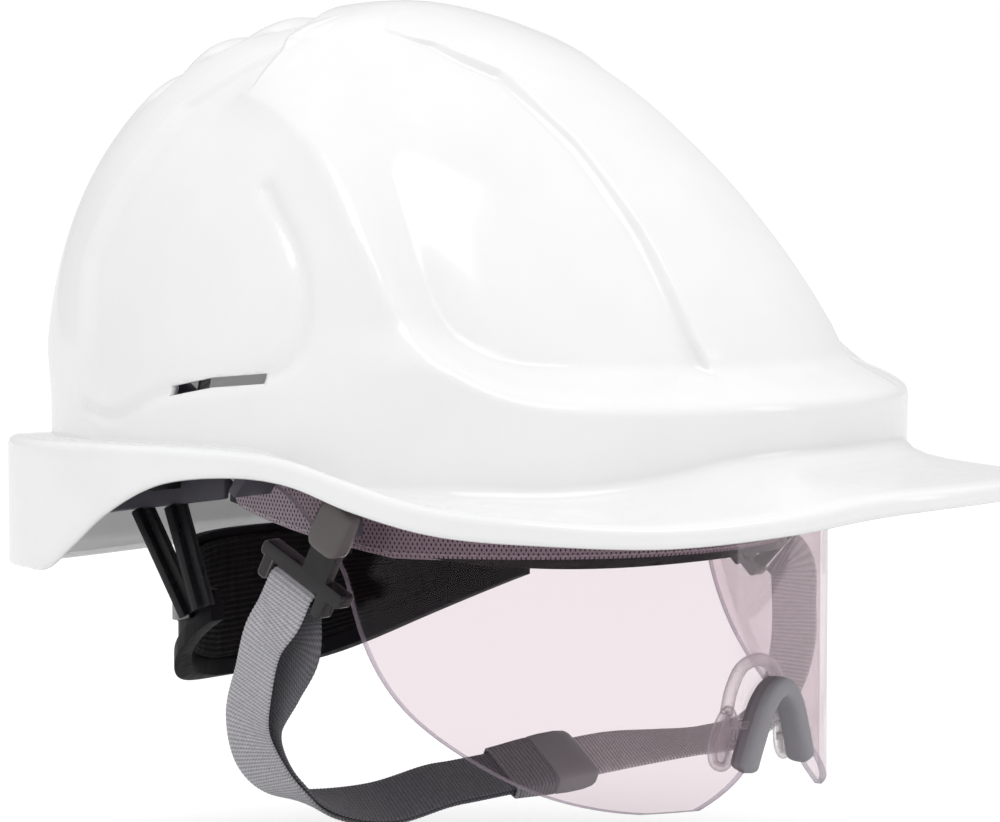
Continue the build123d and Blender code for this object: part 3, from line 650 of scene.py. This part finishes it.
def refine_harness():
    """Every hard piece of the harness and of the visor's slides."""
    black, grey = (HARNESS_BLACK, "harness_black"), (HARNESS_GREY, "harness_grey")
    for side in SIDES:
        refined(f"hanger_{side}", *grey, "hat", 0.6)
        refined(f"strap_anchor_{side}", *grey, "hat", 0.4)
        refined(f"visor_track_{side}", *grey, "hat", 0.4)
        refined(f"tail_keeper_{side}", *black, "hat", 0.35)
        refined(f"visor_carriage_{side}", GRIP_GREY, "grip_grey", "visor_carriage", 0.4)
        refined(f"pivot_cap_{side}", GRIP_GREY, "grip_grey", "visor_carriage", 0.4)
        tail = f"ratchet_tail_{side}"
        refined(tail, *black, tail, 0.12)
        for number in (1, 2):
            refined(f"shell_key_{side}_{number}", *black, "hat", 0.4)
            refined(f"strut_{side}_{number}", *black, "hat", 0.35)
    refined("headband", *black, "hat", 0.5)
    refined("nape_band", NAPE_BLACK, "harness_black", "hat", 0.6, 3)
    refined("ratchet_housing", *black, "hat", 0.8, 3)
    refined("ratchet_knob", *black, "ratchet_knob", 0.8, 3)
    refined("ratchet_pinion", *grey, "ratchet_knob", 0.1)


refine_harness()

# ---------------- webbing

WEB_WIDTH, WEB_THICK = 15.0, 1.2
RIB_PITCH, RIB_HEIGHT = 1.1, 0.11


def store_weave(obj, weave):
    """Stores each point's distance along and across a piece, in metres, and its painted lightness,
    which paints light and shade on webbing.
    """
    stored = obj.data.attributes.new("weave", "FLOAT_VECTOR", "POINT")
    stored.data.foreach_set("vector", weave.ravel())


def webbing(name, path, body, material, light, width=WEB_WIDTH, thick=WEB_THICK, pitch=RIB_PITCH):
    """Ribbed webbing along (point, across) stations. `light` gives each side its painted light and
    shade, from 0, painted dark, to 1, painted lit.
    """
    points = np.array([station[0] for station in path], float)
    across = np.array([station[1] for station in path], float)
    count = int(run_along(points)[-1] / pitch * 4)
    lines = curve_through(np.hstack([points, across * 8]), count)
    centre, across = lines[:, :3], lines[:, 3:]
    ahead = unit(np.gradient(centre, axis=0))
    across = unit(across - ahead * (across * ahead).sum(1, keepdims=True))
    face = np.cross(ahead, across)
    gone = run_along(centre)
    rib = 0.5 + 0.5 * np.sin(2 * pi * gone / pitch)
    half = width / 2
    spans = [half * share for share in (-0.93, -0.8, -0.5, -0.2, 0.2, 0.5, 0.8, 0.93)]
    profile = [(-half, 0.0, 0)] + [(span, 0.5, 1) for span in spans] + [(half, 0.0, 0)]
    profile += [(span, -0.5, -1) for span in reversed(spans)]
    rows, weave = [], []
    for offset, lift, side in profile:
        selvedge = abs(offset) > 0.9 * half
        edge = 0.75 if selvedge else 1.0
        proud = (lift * (thick - 2 * RIB_HEIGHT) + side * RIB_HEIGHT * rib) * edge
        out = offset + np.sign(offset) * 0.14 * rib * selvedge
        rows.append(centre + across * out[:, None] + face * proud[:, None])
        shade = light(gone / gone[-1], side)
        weave.append(np.stack([gone * MM, offset * MM + 0 * gone, shade + 0 * gone], -1))
    ring = len(profile)
    grid = np.stack(rows, axis=1).reshape(-1, 3)
    faces = ring_faces(len(gone), ring) + flipped(end_caps(len(gone), ring))
    obj = piece(name, grid, faces, material, body)
    store_weave(obj, np.stack(weave, axis=1))
    return obj


CLIP_X = 88.0
CLIP_PIN = (-17.3, 8.2)
CLIP_SWING = {"right": 27.5, "left": -45.0}
PIN_FROM_BAR = (5.0, 22.5)
LOOP_R = 2.6
LAYER = 0.75
BUCKLE_DIR = np.array([62, -19, 5]) / hypot(62, 19, 5)
BUCKLE_AT = np.array([0, -13.85, -64.6])
FLAT = (0, -0.85, -0.52)


def clip_frame(side):
    """Centre of a clip's bar, the way along the bar and the way up the clip."""
    lean = radians(CLIP_SWING[side])
    along = np.array([0, -cos(lean), -sin(lean)])
    up = np.array([0, -sin(lean), cos(lean)])
    pin = np.array([SIDES[side] * CLIP_X, *CLIP_PIN])
    return pin - along * PIN_FROM_BAR[0] - up * PIN_FROM_BAR[1], along, up


def right_webbing():
    """One webbing that comes up from the buckle, turns round the clip's bar and goes down again.

    Each stop has its point, the way across, half the gap between the two runs, and how far
    forward the inner run is pushed."""
    bar, along, up = clip_frame("right")
    route = [
        (bar - up * 7, along, 2.9, 2.0),
        ((-88.5, 5.2, -23), (-0.12, -0.95, -0.3), 3.2, 6.4),
        ((-88.0, 9.0, -33), (-0.14, -0.97, -0.15), 2.8, 4.2),
        ((-86.0, 14.0, -45), (-0.02, -0.98, -0.1), 2.0, 1.0),
        ((-82.0, 14.5, -56), (0.2, -0.95, -0.12), 1.1, 0),
        ((-75.0, 12.0, -64), (0.3, -0.9, -0.2), LAYER, 0),
        ((-64.0, 8.0, -69), (0.15, -0.9, -0.35), LAYER, 0),
        ((-48.0, 2.5, -70.5), FLAT, LAYER, 0),
        (BUCKLE_AT - BUCKLE_DIR * 34, FLAT, LAYER, 0),
        (BUCKLE_AT - BUCKLE_DIR * 24, FLAT, LAYER, 0),
        (BUCKLE_AT + BUCKLE_DIR * 2, FLAT, LAYER, 0),
    ]
    points = np.array([stop[0] for stop in route], float)
    ahead = np.gradient(points, axis=0)
    outer, inner = [], []
    for (point, across, spread, shift), way in zip(route, ahead):
        across = np.array(across) - way * np.dot(across, way) / np.dot(way, way)
        face = unit(np.cross(way, across))
        outer.append((np.array(point) + face * spread, across))
        inner.append((np.array(point) - face * spread + np.array([0, -shift, -0.35 * shift]), across))
    out = np.array([-1.0, 0, 0])
    turn = [(bar + LOOP_R * (up * sin(angle) - out * cos(angle)), along)
            for angle in np.radians([0, 30, 60, 90, 120, 150, 180])]
    path = inner[::-1] + turn + outer

    # painted light: the outer run down from the clip's bar is painted lit on its face, and the rest
    # stays near the shaded colour
    def light(share, side):
        lit = smooth_step((share - 0.46) / 0.06) * (1 - smooth_step((share - 0.70) / 0.09))
        return 0.12 + lit * {1: 0.72, 0: 0.6, -1: 0.05}[side]

    strap = webbing("chin_webbing_right", path, "chin_strap", WEB_LIT_AND_SHADED, light)
    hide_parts("chin_strap_right_outer", "chin_strap_right_inner", "chin_strap_loop")


def left_webbing():
    """The webbing from the buckle up to the left clip."""
    bar, along, up = clip_frame("left")
    path = [
        (BUCKLE_AT + BUCKLE_DIR * 2, FLAT),
        (BUCKLE_AT + BUCKLE_DIR * 26, FLAT),
        (np.array([44, -26.5, -62.5]), (0, -0.92, -0.38)),
        (np.array([60, -30, -62.5]), (-0.1, -0.95, -0.3)),
        (np.array([74, -33.5, -59]), (-0.2, -0.97, -0.1)),
        (np.array([83, -35.5, -50]), (-0.1, -1, 0)),
        (np.array([87.5, -36, -38]), (0, -1, 0)),
        (np.array([88.5, -35.5, -27]), (0, -0.95, 0.2)),
        (bar - up * 8, along),
        (bar - up * (1.95 + 0.6), along),
    ]
    # painted light and shade: one face of the far strap is painted fully lit and the other is painted
    # shaded
    strap = webbing("chin_webbing_left", path, "chin_strap", WEB_BRIGHTENED,
                    lambda share, side: 0.15 if side > 0 else 1.0)
    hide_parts("chin_strap_left")


right_webbing()
left_webbing()


TAB_WIDTH, TAB_HEIGHT, TAB_CENTRE = 10.6, 13.6, (5.0, 21.2)
# The tab's section, as depth and how far its outline grows there.
TAB_SECTION = [(-1.3, -0.8), (-1.0, -0.1), (0.0, 0.0), (3.4, 0.0), (4.0, -0.15), (4.35, -0.6),
               (4.45, -1.3), (4.5, -3.2)]


def clip_finish(side):
    """The moulded clip, black where it is polished, and the broad tab over its swivel."""
    clip = refined(f"chin_clip_{side}", CLIP_BROWN, "clip_brown", "chin_strap", 0.7, 3)
    clip.data.materials.append(CLIP_BLACK)
    bar, along, up = clip_frame(side)
    for face in clip.data.polygons:
        place = np.array(face.center) / MM - bar
        if place.dot(along) > -6.5:
            face.material_index = 1
    across, rise = squared_circle(full_turn(48), 2 / 4.5)
    out = np.array([SIDES[side], 0.0, 0.0])
    rings = []
    for depth, grow in TAB_SECTION:
        centre = bar + along * TAB_CENTRE[0] + up * TAB_CENTRE[1] + out * depth
        wide, high = across * (TAB_WIDTH / 2 + grow), rise * (TAB_HEIGHT / 2 + grow)
        rings.append(centre + np.outer(wide, along) + np.outer(high, up))
    points, faces = skinned(rings)
    if SIDES[side] > 0:
        faces = flipped(faces)
    tab = piece(f"chin_clip_tab_{side}", points, faces, CLIP_BROWN, "chin_strap")


for side in SIDES:
    clip_finish(side)


def buckle_part(name, material, stations):
    """A moulded half of the buckle, lofted along the webbing round the slot it runs through."""
    across = np.array(FLAT, float)
    across = unit(across - BUCKLE_DIR * across.dot(BUCKLE_DIR))
    face = np.cross(BUCKLE_DIR, across)
    turn = full_turn(40)
    slot_ends = [(stations[end][0], WEB_WIDTH / 2 + 0.7, 1.55) for end in (-1, 0)]
    rings = []
    for number, (at, half_width, half_height) in enumerate(stations + slot_ends):
        wide, high = squared_circle(turn, 0.45 if number < len(stations) else 0.2)
        centre = BUCKLE_AT + BUCKLE_DIR * at
        rings.append(centre + np.outer(wide * half_width, across) + np.outer(high * half_height, face))
    points, faces = skinned(rings, closed=True)
    part = piece(name, points, faces, material, "slider_buckle")
    part.data.set_sharp_from_angle(angle=radians(60))
    offset = points - BUCKLE_AT
    shade = np.full(len(points), 0.42)
    store_weave(part, np.stack([offset @ BUCKLE_DIR * MM, offset @ across * MM, shade], -1))
    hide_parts("slider_buckle")


buckle_part("buckle_sleeve", WEB_LIT_AND_SHADED, [
    (-13.3, 8.6, 2.1), (-13.0, 9.0, 2.4), (-9, 9.1, 2.8), (-4, 9.3, 3.3), (-0.8, 9.4, 3.5),
    (-0.3, 9.1, 3.2)])
buckle_part("buckle_cap", BUCKLE_GREY, [
    (-0.25, 9.0, 3.1), (0.3, 9.5, 3.6), (4, 9.7, 3.8), (9, 9.7, 3.7), (12, 9.3, 3.4),
    (13.1, 8.9, 2.8), (13.4, 8.6, 2.3)])

# ---------------- visor

PLASTIC_IOR = 1.45


def see_through(name, tint, low_tint, gloss, solid=None, least=0.0):
    """Clear plastic: a tint that deepens downwards, glossy or milky towards grazing sight."""
    nodes = Nodes(name, gloss, 0.03 if solid is None else 0.14, metallic=1.0 if solid is None else 0.0)
    _, _, height = nodes.parts(nodes.where)
    depth = nodes.ramp(height, 0.02, -0.07, 0, 1)
    streaks = nodes.ramp(nodes.noise(18, 2, (1, 1, 0.2)), 0.3, 0.7, -0.08, 0.08)
    clear = nodes.add("ShaderNodeBsdfTransparent")
    nodes.feed(nodes.mix(nodes.math("ADD", depth, streaks), tint, low_tint), clear.inputs["Color"])
    if solid is None:
        edge = nodes.add("ShaderNodeFresnel")
        edge.inputs["IOR"].default_value = PLASTIC_IOR
        factor = nodes.ramp(edge.outputs["Fac"], 0.0, 0.9, 0.0, 0.22)
    else:
        edge = nodes.add("ShaderNodeLayerWeight")
        edge.inputs["Blend"].default_value = solid
        factor = nodes.ramp(edge.outputs["Facing"], 0.0, 0.9, least, 0.85)
    mix = nodes.add("ShaderNodeMixShader")
    nodes.feed(factor, mix.inputs["Fac"])
    nodes.feed(clear.outputs["BSDF"], mix.inputs[1])
    nodes.feed(nodes.shader.outputs["BSDF"], mix.inputs[2])
    nodes.feed(mix.outputs["Shader"], nodes.tree.nodes["Material Output"].inputs["Surface"])
    return nodes.material


VISOR_CLEAR = see_through("tinted clear visor", (0.893, 0.853, 0.867), (0.878, 0.833, 0.85),
                          (0.95, 0.93, 0.95))
VISOR_EDGE = see_through("visor cut edge", (0.84, 0.80, 0.84), (0.76, 0.71, 0.77),
                         (0.58, 0.53, 0.60), 0.45, 0.12)
SILICONE = see_through("clear silicone", (0.975, 0.965, 0.97), (0.97, 0.955, 0.962),
                       (0.88, 0.85, 0.865), 0.5, 0.10)
LENS_HALF_WIDTH, LENS_FRONT = 80.0, 92.0


def finish_lens():
    """The lens keeps its CAD shape. Its cut edge, which gathers light, has a material of its own."""
    lens = refined("visor_lens", VISOR_CLEAR, "visor_clear", "visor", 0.25, 2, 30)
    lens.data.materials.append(VISOR_EDGE)
    for face in lens.data.polygons:
        x, y, _ = face.center / MM
        turned = Vector((face.normal.x, face.normal.y)).length
        forward = min(y, 0)
        across, along = x / LENS_HALF_WIDTH ** 2, forward / LENS_FRONT ** 2
        radial = abs(face.normal.x * across + face.normal.y * along)
        radial /= max(hypot(across, along), 1e-9)
        face.material_index = 0 if radial > 0.93 * max(turned, 1e-6) and turned > 0.9 else 1


finish_lens()
GRIP_LINE = [(-13.4, -57.6), (-10.1, -49.3), (-5.7, -40.4), (0, -36.6), (5.7, -40.4),
             (10.1, -49.3), (13.4, -57.6)]
GRIP_HALF_WIDTH, GRIP_HALF_DEPTH = 2.75, 3.6


def nose_grip():
    """Soft grey channel that wraps the edge of the lens's nose notch."""
    line = curve_through(GRIP_LINE, 90)
    lens_middle = LENS_FRONT - 1
    x, z = line[:, 0], line[:, 1]
    centre = np.stack([x, -lens_middle * np.sqrt(1 - (x / (LENS_HALF_WIDTH - 1)) ** 2), z], -1)
    gone = run_along(centre)
    to_end = np.minimum(gone, gone[-1] - gone)
    size = np.sqrt(np.clip(1 - np.clip(1 - to_end / 2.2, 0, 1) ** 2, 0.02, 1))
    ahead = unit(np.gradient(centre, axis=0))
    depth = unit(np.array([0.0, 1.0, 0.0]) - ahead * ahead[:, 1:2])
    beside = np.cross(ahead, depth)
    strands = []
    for wide, deep in zip(*squared_circle(full_turn(36), 0.62)):
        out = beside * wide * GRIP_HALF_WIDTH + depth * deep * GRIP_HALF_DEPTH
        strands.append(centre + out * size[:, None])
    grip = piece("nose_grip_soft", *skinned(np.stack(strands, axis=1)), GRIP_GREY, "visor")
    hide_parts("nose_grip")


nose_grip()


TUBE_SIDES = 14


def tube(centre, radius, closed=False):
    """Points and faces of a tube along a curve in an upright XZ plane."""
    if closed:
        ahead = np.roll(centre, -1, axis=0) - np.roll(centre, 1, axis=0)
    else:
        ahead = np.gradient(centre, axis=0)
    ahead = unit(ahead)
    beside = unit(np.cross(ahead, [0, 1, 0]))
    depth = np.cross(beside, ahead)
    strands = [centre + (beside * cos(turn) + depth * sin(turn)) * radius
               for turn in full_turn(TUBE_SIDES)]
    return skinned(np.stack(strands, axis=1), closed)


SADDLE_Y = -84.2
SADDLE_ARCH = [(-13.0, -43.0), (-10.8, -37), (-6.5, -31.8), (0, -30.2), (6.5, -31.8),
               (10.8, -37), (13.0, -43.0)]
SADDLE_PAD = [(12.0, -42.0), (15.4, -45.5), (17.6, -51), (17.2, -55.2), (13.6, -56.6),
              (11.0, -54.2), (10.2, -49), (10.0, -44.5)]
BAR_HALF_WIDTH, BAR_HALF_HEIGHT = 2.3, 1.0


def rib_bar(line):
    """A short flat bar that joins a pad to the grip."""
    corners = [(1, -1), (1, 1), (-1, 1), (-1, -1)]
    return skinned([[(x + wide * BAR_HALF_WIDTH, y, z + high * BAR_HALF_HEIGHT)
                     for wide, high in corners] for x, y, z in line])


def nose_saddle():
    """Soft clear nose rest: two framed pads, each with a thin web, and an arch between them."""
    arch = curve_through([(x, SADDLE_Y, z) for x, z in SADDLE_ARCH], 60)
    parts = [tube(arch, 1.75)]
    for side in SIDES.values():
        loop = [(side * x, SADDLE_Y + 0.12 * (x - 10), z) for x, z in SADDLE_PAD]
        loop = curve_through([loop[-1], *loop, loop[0], loop[1]], 96)[8:]
        start = int(np.argmin(np.linalg.norm(loop[60:] - loop[0], axis=1))) + 60
        frame_line = loop[:start]
        parts.append(tube(frame_line, 1.25, closed=True))
        middle = frame_line.mean(axis=0)
        web = [middle + (frame_line - middle) * share for share in (1.0, 0.7, 0.35)]
        count = len(frame_line)
        for depth in (-0.35, 0.35):
            layer = np.vstack(web + [[middle]]) + [0, depth, 0]
            faces = ring_faces(3, count)
            faces += [(2 * count + i, 2 * count + (i + 1) % count, 3 * count) for i in range(count)]
            parts.append((layer, faces))
        for x, z in ((11.8, -51.0), (11.0, -45.5)):
            bar = [(side * (x - 1), SADDLE_Y - 0.8 - 5.2 * share, z) for share in (0, 0.5, 1)]
            parts.append(rib_bar(bar))
    saddle = piece("nose_saddle_soft", *joined(parts), SILICONE, "visor")
    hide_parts("nose_saddle")


nose_saddle()

# ---------------- head ring soft parts

RING_CENTRE_Y, RING_HALF_WIDTH, RING_FRONT, RING_REAR = 3.0, 73.0, 83.0, 89.0


def ring_place(angle, outer):
    """Plan of the head ring at an angle from the front, grown outward."""
    reach = np.where(np.cos(angle) > 0, RING_FRONT, RING_REAR) + outer
    return (RING_HALF_WIDTH + outer) * np.sin(angle), RING_CENTRE_Y - reach * np.cos(angle)


def ring_pad(name, start, end, stations, section, top, low, material, corner=5.0):
    """A closed pad along the head ring. `section` goes round it: offset, height share, lift."""
    angle = np.linspace(start, end, stations)
    x, y = ring_place(angle, 0.0)
    gone = np.concatenate([[0], np.cumsum(np.hypot(np.diff(x), np.diff(y)))])
    to_end = np.minimum(gone, gone[-1] - gone)
    short = np.clip(corner - to_end, 0, corner)
    rounding = corner - np.sqrt(np.clip(corner ** 2 - short ** 2, 0, None))
    high = np.interp(y, *zip(*top)) - rounding
    bottom = np.interp(y, *zip(*low)) + rounding
    slim = 0.35 + 0.65 * smooth_step(to_end / 2.0)
    middle = np.mean([part[0] for part in section])
    rows, weave = [], []
    around = 0.0
    before = section[0]
    for offset, share, lift in section:
        px, py = ring_place(angle, middle + (offset - middle) * slim)
        height = bottom + (high - bottom) * share + lift
        rows.append(np.stack([px, py, height], -1))
        climb = (share - before[1]) * (high - bottom).mean() + lift - before[2]
        around += hypot(offset - before[0], climb)
        before = offset, share, lift
        across = height if abs(offset) > 0.2 else np.full_like(gone, around)
        weave.append(np.stack([gone, across, np.full_like(gone, offset)], -1) * MM)
    ring = len(section)
    grid = np.stack(rows, axis=1).reshape(-1, 3)
    faces = flipped(ring_faces(stations, ring)) + end_caps(stations, ring)
    pad = piece(name, grid, faces, material, "hat")
    store_weave(pad, np.stack(weave, axis=1))
    return pad


HOLE_PITCH, HOLE_ROW_PITCH = 0.00125, 0.002165


def perforated_material():
    """Soft leatherette with a close pattern of staggered holes."""
    nodes = Nodes("perforated leatherette", (0.33, 0.27, 0.30), 0.55, specular=0.35)
    along, across, _ = nodes.weave()
    columns = nodes.wave("COSINE", along, HOLE_PITCH)
    rows = nodes.wave("COSINE", across, HOLE_ROW_PITCH)
    hole = nodes.ramp(nodes.math("MULTIPLY", columns, rows), 0.36, 0.55, 0, 1)
    grain = nodes.noise(1500, 4)
    leather = nodes.mix(grain, (0.33, 0.265, 0.305), (0.45, 0.37, 0.42))
    # painted shade: each perforation is painted near black for the shade inside it
    nodes.set(Base_Color=nodes.mix(hole, leather, (0.02, 0.015, 0.02)))
    nodes.bump(nodes.math("SUBTRACT", nodes.math("MULTIPLY", grain, 0.25), hole), 0.3)
    return nodes.material


SWEATBAND_TOP = [(-100, 24), (-20, 24), (20, 25), (36, 24)]
SWEATBAND_LOW = [(-100, -2), (-20, -2), (10, 3), (36, 8)]
SWEATBAND_END = pi - np.arccos(33 / 89)
THREAD = moulded("pale thread", (0.55, 0.5, 0.53), 0.7)


STITCH_PITCH, STITCH_LENGTH, STITCH_RADIUS = 2.6, 1.8, 0.22


def stitch_row(outer, edge, lift):
    """Short thread stitches along one edge of the sweatband."""
    angle = np.linspace(-SWEATBAND_END + 0.07, SWEATBAND_END - 0.07, 1600)
    x, y = ring_place(angle, outer)
    line = np.stack([x, y, np.interp(y, *zip(*edge)) + lift], -1)
    gone = run_along(line)
    stitches = []
    for begin in np.arange(0, gone[-1] - STITCH_LENGTH, STITCH_PITCH):
        stops = begin + np.linspace(0, STITCH_LENGTH, 4)
        centre = np.stack([np.interp(stops, gone, values) for values in line.T], -1)
        ahead = unit(centre[-1] - centre[0])
        out = np.cross(ahead, [0, 0, 1])
        up = np.cross(out, ahead)
        stitches.append(skinned([[place + (out * cos(turn) + up * sin(turn)) * STITCH_RADIUS * size
                                  for turn in full_turn(6)]
                                 for place, size in zip(centre, (0.45, 1.0, 1.0, 0.45))]))
    return joined(stitches)


def make_sweatband():
    """Padded leatherette folded round the headband and stitched along both edges."""
    outside = [(0.62, share, 0) for share in np.linspace(0.10, 0.90, 9)]
    over = [(0.40, 0.96, 0), (-0.5, 1, -0.1), (-1.6, 1, 0), (-2.8, 0.985, 0), (-3.5, 0.94, 0),
            (-3.1, 0.87, 0)]
    crown = [(-3.2 - 2.4 * sin(pi * share) ** 0.6, 0.83 - 0.66 * share, 0)
             for share in np.linspace(0.05, 0.95, 12)]
    under = [(-3.1, 0.13, 0), (-3.5, 0.06, 0), (-2.8, 0.015, 0), (-1.6, 0, 0), (-0.5, 0, 0.1),
             (0.40, 0.04, 0)]
    band = ring_pad("sweatband_soft", -SWEATBAND_END, SWEATBAND_END, 190,
                    outside + over + crown + under, SWEATBAND_TOP, SWEATBAND_LOW, perforated_material())
    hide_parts("sweatband")
    stitches = [stitch_row(0.72, SWEATBAND_LOW, 1.7), stitch_row(0.72, SWEATBAND_TOP, -1.7),
                stitch_row(-3.35, SWEATBAND_LOW, 3.4), stitch_row(-3.35, SWEATBAND_TOP, -3.4)]
    thread = piece("sweatband_thread", *joined(stitches), THREAD, "hat")


NAPE_TOP_EDGE = [(60, -15), (77, -11), (90, -9), (100, -9)]
NAPE_LOW_EDGE = [(61, -26.3), (72, -32.3), (82, -38.3), (90, -42.3), (100, -43.8)]
NAPE_RIBS = 20
NAPE_FOAM = moulded("black nape foam", (0.010, 0.009, 0.010), 0.7, grain=0.02, specular=0.08)


def make_nape_pad():
    """Ribbed foam pad inside the nape band."""
    back = [(-0.05, share, 0) for share in (0.06, 0.3, 0.6, 0.94)]
    top = [(-0.35, 0.985, 0), (-1.2, 1.0, 0)]
    ribs = []
    for step in np.linspace(0, 1, NAPE_RIBS * 6 + 1):
        crown = min(1.0, 5 * step, 5 * (1 - step))
        wave = sin(2 * pi * NAPE_RIBS * step)
        ribs.append((-1.9 - 0.85 * crown - 0.32 * wave, 0.985 - 0.97 * step, 0))
    bottom = [(-1.2, 0.0, 0), (-0.35, 0.015, 0)]
    end = pi - np.arccos(57.5 / 89)
    pad = ring_pad("nape_pad_soft", end, 2 * pi - end, 110, back + top + ribs + bottom,
                   NAPE_TOP_EDGE, NAPE_LOW_EDGE, NAPE_FOAM, corner=4.0)
    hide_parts("nape_pad")


make_sweatband()
make_nape_pad()

# ---------------- cradle straps

CRADLE_CENTRE, CRADLE_AXES = np.array([0.0, 3.0, 10.0]), (73.8, 84.0, 96.0)
CRADLE_FOOT = radians(10)
CRADLE_STRAPS = {"cradle_strap_side": (8, 0.0), "cradle_strap_cross_1": (58, 2.0),
                 "cradle_strap_cross_2": (-58, 4.0)}


def cradle_webbing(node, heading, lift):
    """A strap over the crown of the head, from one side of the headband to the other."""
    turn = radians(heading)
    path = []
    for climb in np.linspace(CRADLE_FOOT, pi - CRADLE_FOOT, 15):
        out = cos(climb)
        place = CRADLE_CENTRE + [(CRADLE_AXES[0] + lift * 0.3) * out * cos(turn),
                                 (CRADLE_AXES[1] + lift * 0.3) * out * sin(turn),
                                 (CRADLE_AXES[2] + lift) * sin(climb)]
        path.append((place, (-sin(turn), cos(turn), 0)))
    strap = webbing(node + "_webbing", path, "hat", WEB_DARK,
                    lambda share, side: 0.5, width=18.0, thick=1.0, pitch=1.5)
    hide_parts(node)


for node, (heading, lift) in CRADLE_STRAPS.items():
    cradle_webbing(node, heading, lift)

# ---------------- camera, light and floor

PHOTO_TURN, PHOTO_RISE, PHOTO_DISTANCE = radians(-52), radians(6), 1.3
PHOTO_AIM = (0, 0, 0.0305)
PHOTO_LENS = 173.2
FLOOR_GAP, FLOOR_REACH = 0.03, 40
FLOOR_GLOW = 0.14
SKY_LEVEL = 1.14


def aimed(name, data, place, aim):
    """A camera or light in the scene, turned towards a point."""
    obj = in_scene(name, data)
    obj.location = place
    obj.rotation_euler = (Vector(aim) - Vector(place)).to_track_quat("-Z", "Y").to_euler()
    return obj


def add_camera():
    level = cos(PHOTO_RISE)
    back = Vector((sin(PHOTO_TURN) * level, -cos(PHOTO_TURN) * level, sin(PHOTO_RISE)))
    data = bpy.data.cameras.new("camera")
    data.sensor_width = 36
    data.lens = PHOTO_LENS
    data.clip_start = 0.05
    bpy.context.scene.camera = aimed("camera", data, back * PHOTO_DISTANCE, PHOTO_AIM)


def add_area_light(name, place, aim, size, power):
    data = bpy.data.lights.new(name, "AREA")
    data.shape = "RECTANGLE"
    data.size, data.size_y = size
    data.energy = power
    aimed(name, data, place, aim)


def add_stage():
    low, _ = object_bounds()
    corners = [(x, y, low[2] - FLOOR_GAP)
               for x, y in np.array([(-1, -1), (1, -1), (1, 1), (-1, 1)]) * FLOOR_REACH]
    mesh = bpy.data.meshes.new("floor")
    mesh.from_pydata(corners, [], [(0, 1, 2, 3)])
    floor = in_scene("floor", mesh)
    pale = Nodes("pale floor", (0.92, 0.92, 0.92), 0.9, specular=0.0)
    seen = pale.add("ShaderNodeLightPath").outputs["Is Camera Ray"]
    pale.set(Emission_Color=(1, 1, 1), Emission_Strength=pale.math("MULTIPLY", seen, FLOOR_GLOW))
    mesh.materials.append(pale.material)


def add_studio():
    """A white room: lighter overhead than at the sides, so that the moulded shapes show."""
    world = bpy.data.worlds.new("studio")
    bpy.context.scene.world = world
    nodes = Tree(world)
    ramp = nodes.add("ShaderNodeValToRGB")
    stops = ramp.color_ramp.elements
    stops[0].position, stops[0].color = 0.0, (0.60, 0.60, 0.60, 1)
    stops[1].position, stops[1].color = 1.0, (1.0, 1.0, 1.0, 1)
    for place, level in ((0.46, 0.68), (0.58, 0.62), (0.72, 0.72), (0.86, 0.90)):
        stop = stops.new(place)
        stop.color = (level, level, level, 1)
    _, _, rise = nodes.parts(nodes.add("ShaderNodeTexCoord").outputs["Generated"])
    nodes.feed(nodes.math("MULTIPLY_ADD", rise, 0.5, 0.5), ramp.inputs["Fac"])
    lift = nodes.add("ShaderNodeVectorMath", operation="SCALE")
    nodes.feed(SKY_LEVEL, lift.inputs["Scale"])
    nodes.feed(ramp.outputs["Color"], lift.inputs[0])
    seen = nodes.add("ShaderNodeLightPath").outputs["Is Camera Ray"]
    background = nodes.tree.nodes["Background"]
    nodes.feed(nodes.mix(seen, lift.outputs["Vector"], (1, 1, 1)), background.inputs["Color"])
    nodes.feed(1.0, background.inputs["Strength"])
    bpy.context.scene.view_settings.view_transform = "Standard"


add_camera()
add_area_light("key light", (-0.7, -0.2, 1.5), (0, -0.02, 0.05), (0.8, 0.8), 4.5)
add_area_light("front light", (0.6, -1.6, 0.9), (0, 0, 0.05), (0.5, 0.9), 2.0)
add_stage()
add_studio()
